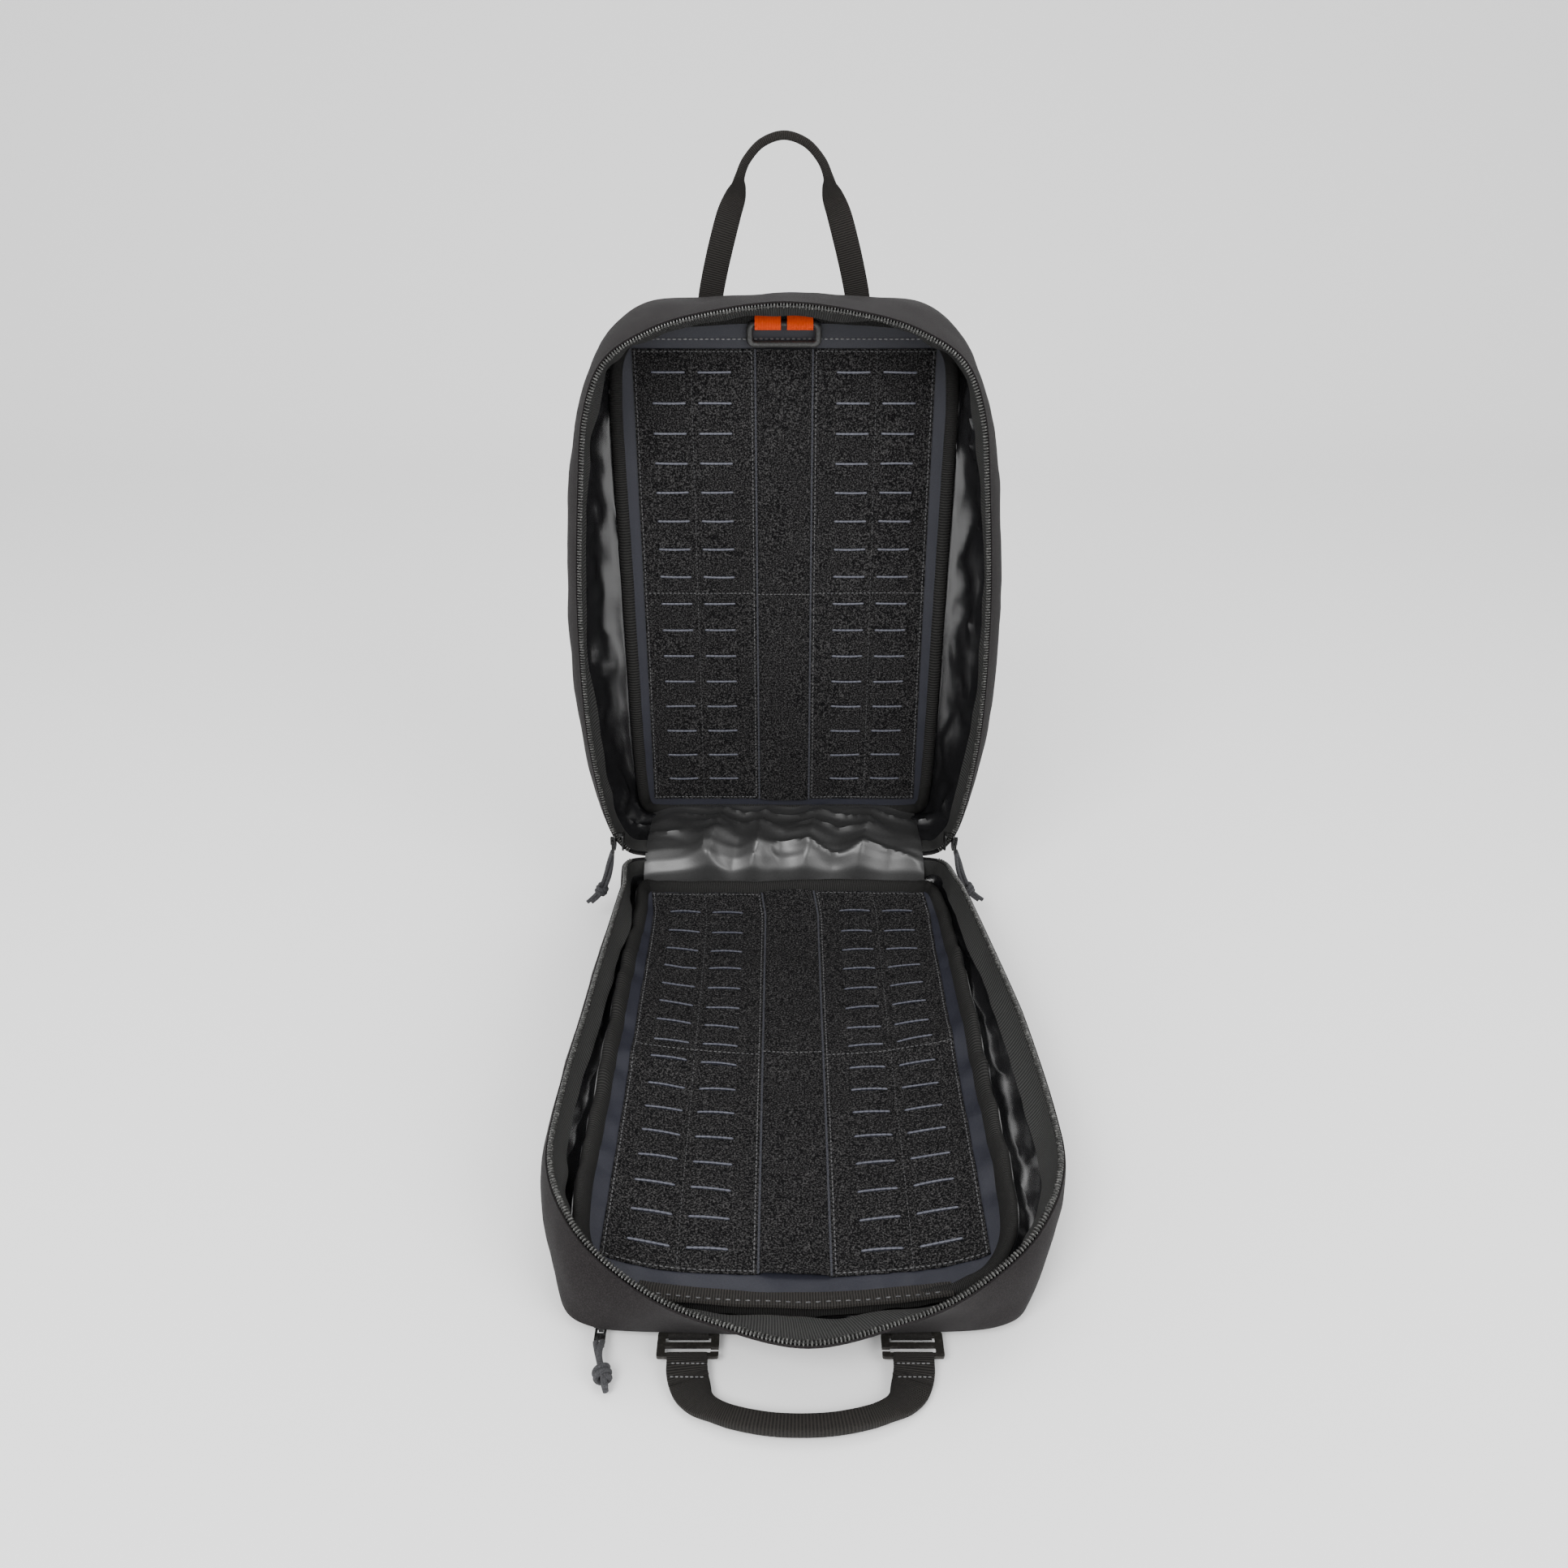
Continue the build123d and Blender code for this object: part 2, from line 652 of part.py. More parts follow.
outer_bar = hook_s + slot_b + hook_slot / 2 + hook_bar / 2
bar_half = hook_bar / 2 + ring_clearance
wrap_half = hook_thickness / 2 + ring_clearance
with BuildPart() as front_handle:
    for side in (-1, 1):
        start = hook_shift + side * hook_x - webbing_width / 2
        with BuildSketch(profile_plane(front_plane, start)):
            with Locations((outer_bar, hinge_z - hook_height)):
                Rectangle(2 * (bar_half + wrap_thickness), 2 * (wrap_half + wrap_thickness))
                Rectangle(2 * bar_half, 2 * wrap_half, mode=Mode.SUBTRACT)
        extrude(amount=webbing_width)
        leg_start = outer_bar + bar_half
        with BuildSketch(Plane(origin=(0, hinge_y, ground_clearance), x_dir=(1, 0, 0),
                               z_dir=(0, 0, -1))):
            with BuildLine():
                Polyline(
                    (hook_shift + side * (hook_x - webbing_width / 2), leg_start),
                    (hook_shift + side * (hook_x + webbing_width / 2), leg_start),
                    (hook_shift + side * (front_shoulder_x + webbing_width / 2),
                     front_shoulder_s),
                    (hook_shift + side * (front_shoulder_x - webbing_width / 2),
                     front_shoulder_s),
                    close=True,
                )
            make_face()
        extrude(amount=-webbing_thickness)
    with BuildSketch(Plane(origin=(0, hinge_y, ground_clearance), x_dir=(1, 0, 0),
                           z_dir=(0, 0, -1))):
        with BuildLine():
            outer_x = front_shoulder_x + webbing_width / 2
            inner_x = front_shoulder_x - webbing_width / 2
            outer = ThreePointArc((hook_shift - outer_x, front_shoulder_s),
                                  (hook_shift, front_grip_s + grip_depth / 2),
                                  (hook_shift + outer_x, front_shoulder_s))
            inner = ThreePointArc((hook_shift - inner_x, front_shoulder_s),
                                  (hook_shift, front_grip_s - grip_depth / 2),
                                  (hook_shift + inner_x, front_shoulder_s))
            Line(outer @ 0, inner @ 0)
            Line(outer @ 1, inner @ 1)
        make_face()
    extrude(amount=-grip_thickness)
save(front_handle, "front_handle")


# ---- Harness on the outside of the rear half ----

with BuildPart() as back_pads:
    with BuildSketch(rear_plane(rear_depth)):
        for side in (-1, 1):
            with Locations((side * (back_pad_inner + back_pad_outer) / 2,
                            (back_pad_low + back_pad_high) / 2)):
                RectangleRounded(back_pad_outer - back_pad_inner,
                                 back_pad_high - back_pad_low, back_pad_corner)
    extrude(amount=back_pad_thickness)
save(back_pads, "back_pads")

with BuildPart() as yoke:
    with BuildSketch(rear_plane(rear_depth)):
        with Locations((0, (yoke_low + yoke_high) / 2)):
            Rectangle(2 * yoke_half_width, yoke_high - yoke_low)
    extrude(amount=yoke_thickness)
save(yoke, "strap_yoke")

pad_depth = rear_depth + back_pad_thickness + pad_gap + strap_thickness / 2
pivot_s = yoke_low - strap_pivot_gap - strap_thickness / 2
strap_end = pivot_s - strap_length
ladder_high = strap_end - strap_pivot_gap
ladder_low = ladder_high - ladder_height
with BuildPart() as lower_anchors:
    with BuildSketch(rear_plane(rear_depth)):
        for side in (-1, 1):
            with Locations((side * anchor_x, (anchor_top + anchor_bottom) / 2)):
                Rectangle(webbing_width, anchor_top - anchor_bottom)
    extrude(amount=anchor_thickness)
    split(bisect_by=rear_plane(rear_depth), keep=Keep.TOP)
save(lower_anchors, "lower_anchors")

for name, side in (("left", 1), ("right", -1)):
    centre = side * strap_x
    with BuildPart() as strap:
        with BuildSketch(profile_plane(rear_plane, centre - strap_width / 2)):
            with Locations((pivot_s, pad_depth)):
                Circle(strap_thickness / 2)
            with Locations(((pivot_s + strap_end) / 2, pad_depth)):
                Rectangle(strap_length, strap_thickness)
        extrude(amount=strap_width)
    save(strap, f"shoulder_pad_{name}")
    with BuildPart() as ladder:
        with BuildSketch(rear_plane(pad_depth)):
            with Locations((centre, (ladder_low + ladder_high) / 2)):
                RectangleRounded(ladder_width, ladder_height, ladder_corner)
                with GridLocations(0, ladder_height / 2 - ladder_slot_inset, 1, 2):
                    Rectangle(webbing_width + ladder_slot_margin, ladder_slot, mode=Mode.SUBTRACT)
        extrude(amount=ladder_thickness / 2, both=True)
    save(ladder, f"ladder_lock_{name}")
    with BuildPart() as webbing:
        with BuildSketch(rear_plane(rear_depth + anchor_thickness)):
            with BuildLine():
                Polyline(
                    (centre - webbing_width / 2, ladder_low - ladder_lap),
                    (centre + webbing_width / 2, ladder_low - ladder_lap),
                    (side * anchor_x + webbing_width / 2, anchor_top - anchor_lap),
                    (side * anchor_x - webbing_width / 2, anchor_top - anchor_lap),
                    close=True,
                )
            make_face()
        extrude(amount=lower_webbing_thickness)
    save(webbing, f"lower_webbing_{name}")
    sternum_depth = pad_depth + strap_thickness / 2 + strap_pivot_gap
    reach = sternum_inner + sternum_buckle_length
    with BuildPart() as sternum:
        with BuildSketch(rear_plane(sternum_depth)):
            with Locations((side * (reach + strap_x + strap_width / 2) / 2, sternum_s)):
                Rectangle(strap_x + strap_width / 2 - reach, sternum_width)
        extrude(amount=sternum_thickness)
        with BuildSketch(rear_plane(sternum_depth)):
            with Locations((side * (sternum_inner + sternum_buckle_length / 2), sternum_s)):
                RectangleRounded(sternum_buckle_length, sternum_buckle_width,
                                 sternum_corner)
        extrude(amount=sternum_buckle_thickness)
    save(sternum, f"sternum_strap_{name}")
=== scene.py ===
# %% [markdown]
# # A trauma backpack, opened
#
# The pack is two zipped half shells joined along their lower edge. The front half lies on
# its outer face and the rear half stands behind it. Everything hard, such as sliders, ring and
# buckles, comes from the construction model and only gets a finish here. Everything soft is
# modelled in this lesson: cloth walls, lined panels, tapes, webbing and cords.

import bpy
import json
import itertools
import math
import numpy as np
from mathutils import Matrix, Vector, noise


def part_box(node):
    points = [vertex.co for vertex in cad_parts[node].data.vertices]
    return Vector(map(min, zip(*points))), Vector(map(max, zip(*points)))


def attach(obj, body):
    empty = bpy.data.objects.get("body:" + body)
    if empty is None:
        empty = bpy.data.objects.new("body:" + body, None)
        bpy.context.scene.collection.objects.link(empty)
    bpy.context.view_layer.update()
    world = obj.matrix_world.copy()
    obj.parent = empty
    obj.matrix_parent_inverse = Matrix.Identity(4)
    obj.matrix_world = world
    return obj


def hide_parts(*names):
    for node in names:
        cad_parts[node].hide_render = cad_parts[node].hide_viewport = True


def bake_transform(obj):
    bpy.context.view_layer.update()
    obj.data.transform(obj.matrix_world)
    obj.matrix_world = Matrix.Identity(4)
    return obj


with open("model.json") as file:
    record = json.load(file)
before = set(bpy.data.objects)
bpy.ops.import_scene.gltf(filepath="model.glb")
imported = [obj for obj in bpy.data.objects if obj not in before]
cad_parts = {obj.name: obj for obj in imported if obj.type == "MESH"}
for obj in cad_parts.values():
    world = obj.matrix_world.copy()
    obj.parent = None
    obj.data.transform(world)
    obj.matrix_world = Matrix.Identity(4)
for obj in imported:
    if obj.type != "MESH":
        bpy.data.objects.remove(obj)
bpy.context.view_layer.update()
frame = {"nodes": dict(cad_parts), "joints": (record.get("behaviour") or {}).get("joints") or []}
MM = 0.001
joints = {joint["name"]: joint for joint in frame["joints"]}
HINGE_Y, HINGE_Z = joints["clamshell_fold"]["pos_m"][1:]
bpy.ops.object.select_all(action="DESELECT")
print("fold line at y", HINGE_Y, "z", HINGE_Z)

# %% [markdown]
# ## Camera, floor and light
#
# The camera stands in front of the pack and looks down on it by about 27 degrees, with a
# normal lens. The floor is a large pale sheet, and three wide lamps give the soft, even light of
# a product table, with the strongest from above and in front.

# %% Camera
CAMERA_BACK = 1.0323       # behind the fold line
CAMERA_HEIGHT = 0.6765
CAMERA_PITCH = 62.66
LENS = 29.81
bpy.ops.object.camera_add(location=(0, HINGE_Y - CAMERA_BACK, CAMERA_HEIGHT),
                          rotation=(math.radians(CAMERA_PITCH), 0, 0))
camera = bpy.context.object
camera.data.lens = LENS
camera.data.sensor_width = 36
bpy.context.scene.camera = camera

# %% Floor and lamps
def tidy_material(name):
    """A new material with its Principled shader."""
    material = bpy.data.materials.new(name)
    material.use_nodes = True
    return material, material.node_tree, material.node_tree.nodes["Principled BSDF"]


def paint(piece, material):
    piece.data.materials.clear()
    piece.data.materials.append(material)


floor_material, _, floor_shader = tidy_material("floor_paper")
floor_shader.inputs["Base Color"].default_value = (0.95, 0.95, 0.95, 1)
floor_shader.inputs["Roughness"].default_value = 0.9
# a little under the cloth, so that the rear panel stays above it when the pack lies flat open
FLOOR_Z = -0.0040
FLOOR_WIDTH, FLOOR_LENGTH, FLOOR_NEAR = 24, 16, -6
CURVE_START, CURVE_RUN = 2.0, 2.5
bpy.ops.mesh.primitive_grid_add(x_subdivisions=4, y_subdivisions=60, size=1)
floor = bpy.context.object
floor.name = "floor"
for vertex in floor.data.vertices:
    along = (vertex.co.y + 0.5) * FLOOR_LENGTH + FLOOR_NEAR
    bend = min(max(along - CURVE_START, 0.0), CURVE_RUN) / CURVE_RUN
    rise = max(along - CURVE_START - CURVE_RUN, 0.0) + 2.0 * bend * bend
    vertex.co = (vertex.co.x * FLOOR_WIDTH, min(along, CURVE_START) + 1.2 * bend,
                 FLOOR_Z + rise)
bpy.ops.object.shade_smooth()
paint(floor, floor_material)

world = bpy.data.worlds.new("studio")
bpy.context.scene.world = world
world.use_nodes = True
world.node_tree.nodes["Background"].inputs["Color"].default_value = (1, 1, 1, 1)
world.node_tree.nodes["Background"].inputs["Strength"].default_value = 1.08


def add_lamp(name, place, target, size, power):
    bpy.ops.object.light_add(type="AREA", location=place)
    lamp = bpy.context.object
    lamp.name = name
    lamp.data.shape, lamp.data.size, lamp.data.energy = "SQUARE", size, power
    lamp.rotation_euler = (Vector(target) - Vector(place)).to_track_quat("-Z", "Y").to_euler()


add_lamp("key_lamp", (-0.8, -1.6, 1.8), (0, 0.15, 0.2), 1.0, 52)
add_lamp("fill_lamp", (1.4, -1.4, 1.3), (0, 0.15, 0.2), 1.2, 30)
add_lamp("top_lamp", (0.1, 0.7, 2.3), (0, 0.2, 0.2), 1.5, 16)

# %% [markdown]
# ## Finishes
#
# Real cloth is never one flat colour: threads catch light, fibres stand up, dust settles. Two
# shared effects do that here. "weave" draws the over-and-under of threads as a height, and
# "fleck" scatters light fibres. Both are node groups, so each cloth can use them with its own
# scale and strength.

# %% Shared effects
def new_group(name, floats, outputs):
    """A node group with a Vector and some numbers going in, and numbers coming out."""
    group = bpy.data.node_groups.new(name, "ShaderNodeTree")
    new_socket = group.interface.new_socket
    new_socket("Vector", in_out="INPUT", socket_type="NodeSocketVector")
    for label, value in floats.items():
        new_socket(label, in_out="INPUT", socket_type="NodeSocketFloat").default_value = value
    for label in outputs:
        new_socket(label, in_out="OUTPUT", socket_type="NodeSocketFloat")
    return group, group.nodes.new("NodeGroupInput"), group.nodes.new("NodeGroupOutput")


def feed(tree, socket, value):
    """Links another node's output to an input, or sets the input to a value."""
    if isinstance(value, bpy.types.NodeSocket):
        tree.links.new(value, socket)
    else:
        socket.default_value = value


def add_node(tree, kind, group=None, **inputs):
    node = tree.nodes.new("ShaderNode" + kind)
    if group:
        node.node_tree = group
    for label, value in inputs.items():
        feed(tree, node.inputs[label.replace("_", " ")], value)
    return node


def math_node(tree, operation, a, b):
    node = tree.nodes.new("ShaderNodeMath")
    node.operation = operation
    feed(tree, node.inputs[0], a)
    feed(tree, node.inputs[1], b)
    return node.outputs[0]


def build_weave():
    """Three crossing waves whose mean is the over-and-under of a plain weave."""
    group, start, end = new_group("weave", {"Threads": 1200.0}, ["Height"])
    heights = []
    for direction in "XYZ":
        wave = add_node(group, "TexWave", Distortion=0.6, Detail=1.0,
                        Vector=start.outputs["Vector"], Scale=start.outputs["Threads"])
        wave.bands_direction = direction
        heights.append(wave.outputs["Fac"])
    total = math_node(group, "ADD", math_node(group, "ADD", *heights[:2]), heights[2])
    feed(group, end.inputs["Height"], math_node(group, "MULTIPLY", total, 0.333))
    return group


def build_fleck():
    """Fibres: fine noise pushed through a steep ramp, and a slow cloud of wear over it."""
    group, start, end = new_group("fleck", {"Scale": 900.0, "Low": 0.45, "High": 0.75},
                                  ["Mask", "Cloud"])
    fine = add_node(group, "TexNoise", Detail=2.0, Roughness=0.7,
                    Vector=start.outputs["Vector"], Scale=start.outputs["Scale"])
    slow = add_node(group, "TexNoise", Scale=9.0, Detail=4.0, Vector=start.outputs["Vector"])
    ramp = add_node(group, "MapRange", Value=fine.outputs["Fac"],
                    From_Min=start.outputs["Low"], From_Max=start.outputs["High"])
    feed(group, end.inputs["Mask"], ramp.outputs["Result"])
    feed(group, end.inputs["Cloud"], slow.outputs["Fac"])
    return group


WEAVE, FLECK = build_weave(), build_fleck()

# %% [markdown]
# A cloth finish mixes a dark thread colour with a lighter fibre colour by the fleck mask,
# drifts slowly with the cloud, and lifts the surface with the weave. Coated linings are smoother
# and get a sheen; loop pile is rough with bright flecks; tapes get cross ribs from their own map.

# %% Cloth finishes
def mix_color(tree, factor, dark, light):
    mix = tree.nodes.new("ShaderNodeMix")
    mix.data_type = "RGBA"
    for index, value in ((0, factor), (6, dark), (7, light)):
        feed(tree, mix.inputs[index], (*value, 1) if isinstance(value, tuple) else value)
    return mix.outputs[2]


def add_bump(tree, shader, height, strength, distance):
    lift = add_node(tree, "Bump", Strength=strength, Distance=distance, Height=height)
    tree.links.new(lift.outputs["Normal"], shader.inputs["Normal"])


def cloth(name, dark, light, rough, threads=900, bump=0.9, fleck=900, low=0.4, high=0.8,
          cloud=0.3, sheen=0.0, shine=0.12, ribs=None, rib_color=None):
    """A woven finish. ribs is (map axis, ribs in 25 mm) for tapes and webbing."""
    material, tree, shader = tidy_material(name)
    place = tree.nodes.new("ShaderNodeTexCoord").outputs
    specks = add_node(tree, "Group", FLECK, Vector=place["Object"], Scale=fleck, Low=low,
                      High=high)
    color = mix_color(tree, specks.outputs["Mask"], dark, light)
    drift = math_node(tree, "MULTIPLY", specks.outputs["Cloud"], cloud)
    color = mix_color(tree, drift, color, tuple(0.45 * value for value in dark))
    if ribs:
        axis, count = ribs
        wave = add_node(tree, "TexWave", Scale=count * math.tau / 20, Vector=place["UV"])
        wave.bands_direction = axis
        height = wave.outputs["Fac"]
        color = mix_color(tree, height, color, rib_color)
    else:
        height = add_node(tree, "Group", WEAVE, Vector=place["Object"],
                          Threads=threads).outputs["Height"]
    tree.links.new(color, shader.inputs["Base Color"])
    add_bump(tree, shader, height, bump, 0.0006)
    for label, value in (("Roughness", rough), ("Specular IOR Level", shine),
                         ("Sheen Weight", sheen), ("Sheen Roughness", 0.5)):
        shader.inputs[label].default_value = value
    return material


def grey(value):
    return (value, value, value)


SHELL = cloth("shell_twill", (0.0090, 0.0076, 0.0080), (0.028, 0.0245, 0.0250), 0.85, 700,
              0.35, 1100, 0.42, 0.78, cloud=0.4, sheen=0.03)
LINING = cloth("slate_lining", (0.0140, 0.0145, 0.0215), (0.024, 0.0255, 0.036), 0.46, 1000,
               0.2, 1300, cloud=0.35, shine=0.35)
WALL_LINING = cloth("coated_lining", (0.0050, 0.0050, 0.0055), (0.011, 0.011, 0.012), 0.24,
                    bump=0.08, fleck=700, shine=1.0)
PILE = cloth("loop_pile", (0.0050, 0.0050, 0.0055), (0.095, 0.092, 0.092), 0.95, bump=0.8,
             fleck=820, low=0.46, high=0.72, shine=0.05)
BINDING_CLOTH = cloth("binding_tape", (0.0060, 0.0060, 0.0058), (0.0165, 0.0160, 0.0155), 0.8,
                      ribs=("X", 22), rib_color=(0.025, 0.0245, 0.0235))
ZIP_TAPE = cloth("zip_tape", grey(0.018), (0.040, 0.040, 0.039), 0.8, bump=0.8,
                 ribs=("X", 16), rib_color=(0.055, 0.055, 0.053))
GUSSET = cloth("gusset_nylon", grey(0.020), grey(0.034), 0.38, 1100, 0.06, shine=0.7)
WEB_DARK, WEB_LIGHT = (0.0065, 0.0060, 0.0055), (0.020, 0.018, 0.017)
WEBBING = cloth("black_webbing", WEB_DARK, WEB_LIGHT, 0.75, fleck=1000, sheen=0.02,
                ribs=("Y", 20), rib_color=(0.022, 0.020, 0.018))
WEBBING_ACROSS = cloth("black_webbing_across", WEB_DARK, WEB_LIGHT, 0.75, fleck=1000,
                       sheen=0.02, ribs=("X", 14), rib_color=(0.034, 0.031, 0.028))
ORANGE = cloth("orange_webbing", (0.95, 0.042, 0.001), (1.0, 0.085, 0.005), 0.7, fleck=700,
               cloud=0.25, sheen=0.05, ribs=("X", 26), rib_color=(1.0, 0.11, 0.010))
CORD = cloth("pull_cord", (0.040, 0.040, 0.044), (0.115, 0.115, 0.122), 0.8, fleck=1200,
             high=0.75, sheen=0.05)
MESH_CLOTH = cloth("back_mesh", grey(0.008), (0.040, 0.040, 0.039), 0.9, 500, 1.0, 600, 0.45,
                   0.7, sheen=0.03)
DARK_THREAD = cloth("field_thread", (0.060, 0.060, 0.063), grey(0.19), 0.8, 1500, 0.3,
                    low=0.45, high=0.75, cloud=0.35)
THREAD = cloth("stitch_thread", (0.13, 0.13, 0.135), grey(0.30), 0.8, 1500, 0.3, low=0.45,
               high=0.75, cloud=0.35)
EDGING = cloth("strip_edging", (0.020, 0.021, 0.027), (0.085, 0.085, 0.092), 0.7, 1200, 0.2,
               1500, high=0.75)
# slot lips: slate cloth painted several times paler than the lining, a painted highlight on the
# cut edges
SLOT_CLOTH_AND_HIGHLIGHT = cloth("slot_lip", (0.050, 0.052, 0.070), (0.12, 0.125, 0.15), 0.4, 1200, 0.1,
                   700, 0.35, shine=0.5)

# %% [markdown]
# Hard parts are moulded plastic or painted metal: nearly smooth, with a fine grain of lighter,
# worn specks, and a little rougher where the slow cloud says hands have rubbed.

# %% Hard finishes
GRAIN = 600


def hard(name, base, worn, rough, metallic=0.0):
    material, tree, shader = tidy_material(name)
    place = tree.nodes.new("ShaderNodeTexCoord").outputs
    specks = add_node(tree, "Group", FLECK, Vector=place["Object"], Scale=GRAIN, Low=0.5,
                      High=0.85).outputs
    color = mix_color(tree, specks["Mask"], base, worn)
    tree.links.new(color, shader.inputs["Base Color"])
    drift = math_node(tree, "MULTIPLY", specks["Cloud"], 0.25)
    tree.links.new(math_node(tree, "ADD", drift, rough), shader.inputs["Roughness"])
    add_bump(tree, shader, specks["Mask"], 0.08, 0.0003)
    shader.inputs["Metallic"].default_value = metallic
    return material


TEETH = hard("coil_teeth", (0.022, 0.022, 0.021), (0.20, 0.20, 0.19), 0.16)
SLIDER = hard("slider_metal", grey(0.020), grey(0.12), 0.25, 0.7)
RING = hard("ring_plastic", (0.024, 0.024, 0.0235), (0.085, 0.085, 0.082), 0.32)
HOOK = hard("hook_metal", (0.030, 0.028, 0.025), (0.07, 0.065, 0.06), 0.35, 0.6)
PLASTIC = hard("buckle_plastic", grey(0.012), grey(0.05), 0.35)

# %% [markdown]
# ## Two half shells in their own coordinates
#
# Both halves are built the same way, so each place is given as x across the pack, s away
# from the fold and d into the shell, and one function per half turns that into the scene's
# axes. An outline is a list of stations from the middle of the fold, round the right side, to
# the crown; the left side is its mirror image. A smooth curve runs through the stations.

# %% Coordinates of the halves
FRONT_SHIFT = 0.007        # the slack front half lies a little to the right
RIM_SHIFT = 0.007          # and its rim leans further that way


def rear_place(x, s, d):
    return (x, HINGE_Y + d, HINGE_Z + s)


def front_place(x, s, d):
    drift = FRONT_SHIFT * clamp(s / 0.05)
    return (x + drift, HINGE_Y - s, HINGE_Z - d)


# Each station: rim x, rim s, base x, base s, panel x, panel s, how far the wall bulges.
REAR_STATIONS = [
    (0, 0, 0, 0, 0, 8, 0), (70, 0, 70, 0, 70, 8, 0), (125, 0, 118, 0, 118, 8, 1),
    (148, 9, 138, 5, 134, 14, 5), (162, 42, 143, 35, 139, 40, 14),
    (173, 127, 145, 127, 141, 127, 22), (173, 240, 147, 240, 142, 240, 23),
    (165, 342, 149, 342, 143, 342, 18), (157, 400, 149, 400, 143, 400, 10),
    (139, 440, 141, 447, 137, 437, 5), (102, 463, 112, 471, 112, 459, 3),
    (59, 475, 62, 475, 60, 465, 3), (0, 482, 0, 476, 0, 467, 3),
]
FRONT_STATIONS = [
    (0, 0, 0, 0, 0, 14, 0), (70, 0, 70, 0, 70, 14, 0), (122, 0, 118, 0, 118, 14, 1),
    (146, 9, 138, 5, 133, 19, 3), (151, 42, 143, 35, 138, 42, 6),
    (159, 127, 145, 127, 141, 127, 9), (168, 240, 147, 240, 142, 240, 11),
    (172, 342, 149, 342, 143, 342, 11), (168, 398, 151, 404, 143, 396, 9),
    (146, 446, 148, 450, 137, 437, 4), (108, 478, 124, 470, 112, 459, 1),
    (60, 502, 62, 474, 60, 465, -2), (0, 519, 0, 476, 0, 467, -4),
]


def closed_stations(stations):
    """The right side, then the left side mirrored, as one closed loop in metres."""
    loop = [np.array(row, float) * MM for row in stations]
    mirror = np.array([-1, 1, -1, 1, -1, 1, 1])
    return loop + [row * mirror for row in loop[-2:0:-1]]


def waver(x, y, z):
    """A smooth random number from about -1 to 1, the same on each run."""
    return noise.noise(Vector((x, y, z)))


def wrinkle(x, y, z, scale, size):
    """The same with a height and a fineness."""
    return size * noise.noise(Vector((x, y, z)) * scale)


def clamp(value):
    return min(max(value, 0.0), 1.0)


def spread(low, high, count):
    return [low + (high - low) * i / (count - 1) for i in range(count)]


def nodes_of(half, *kinds):
    return [f"{half.name}_{kind}" for kind in kinds]


def curve_span(a, b, c, e, steps):
    """Points of a Catmull-Rom curve from b up to c, with a before and e after them."""
    return [0.5 * (2 * b + (c - a) * t + (2 * a - 5 * b + 4 * c - e) * t * t
                   + (3 * b - a - 3 * c + e) * t ** 3) for t in (k / steps for k in range(steps))]


def smooth_loop(rows, steps):
    """A curve through a closed list of rows, with equal steps in each span."""
    count, out = len(rows), []
    for i in range(count):
        out += curve_span(*(rows[(i + k) % count] for k in (-1, 0, 1, 2)), steps)
    return np.array(out)


def outward(points):
    """Unit normals of a closed plane loop, pointing out of it."""
    ahead, behind = np.roll(points, -1, 0), np.roll(points, 1, 0)
    run = ahead - behind
    normal = np.stack([run[:, 1], -run[:, 0]], 1)
    return normal / np.maximum(np.linalg.norm(normal, axis=1, keepdims=True), 1e-9)


LOOP_STEPS = 14


class HalfShell:
    """The smooth outlines of one half and its way of placing a point."""

    slack_from, slack_run = 0.43, 0.07

    def __init__(self, name, stations, place, depth, sag, lean):
        self.name, self.place, self.depth, self.sag = name, place, depth, sag
        self.body = f"{name}_half"
        self.up = Vector(place(0, 0, 0)) - Vector(place(0, 0, 1))
        rows = smooth_loop(closed_stations(stations), LOOP_STEPS)
        self.rim, self.base, self.panel = rows[:, 0:2], rows[:, 2:4], rows[:, 4:6]
        self.bulge, self.out = rows[:, 6], outward(rows[:, 0:2])
        self.rim[:, 0] += lean * np.clip((self.rim[:, 1] - 0.03) / 0.20, 0, 1)
        self.count = len(rows)

    def rim_depth(self, s):
        """How far the rim hangs down: the front's far end is slack and sags."""
        share = clamp((s - self.slack_from) / self.slack_run)
        return 0.001 + self.sag * share * share * (3 - 2 * share)

    def wall(self, i, v, inset=0.0, swell=1.0):
        """A point of the wall: v runs from the rim at 0 to the outer face at 1."""
        i %= self.count
        flat = self.rim[i] * (1 - v) + self.base[i] * v
        flat = flat + self.out[i] * (self.bulge[i] * swell * 4 * v * (1 - v) - inset)
        rim_d = self.rim_depth(self.rim[i][1])
        return flat[0], flat[1], rim_d + (self.depth - rim_d) * v

    def on_panel(self, x, s, lift=0.0):
        """A point above the organiser panel."""
        return self.place(x, s, self.panel_d(x, s) - lift)


REAR_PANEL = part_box("rear_liner_panel")[0].y - HINGE_Y
FRONT_PANEL = HINGE_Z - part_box("front_liner_panel")[1].z
rear = HalfShell("rear", REAR_STATIONS, rear_place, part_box("back_wall")[1].y - HINGE_Y, 0, 0)
front = HalfShell("front", FRONT_STATIONS, front_place, HINGE_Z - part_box("front_face_wall")[0].z,
                  0.020, RIM_SHIFT)
HALVES, SIDES = (rear, front), ((-1, "left"), (1, "right"))
print("panels lie", round(REAR_PANEL, 4), "and", round(FRONT_PANEL, 4), "behind the rims")

# %% [markdown]
# ## A sheet of cloth from a grid
#
# Cloth starts as a flat grid, as it does on the cutting table. Each crossing of the grid is
# then put where a function says, faces can be cut out for slots, and a thickness is added last.
# The grid keeps its own map, so ribs follow the cloth however it bends.

# %% Grid and sweep helpers
RIB_UNIT = 0.025


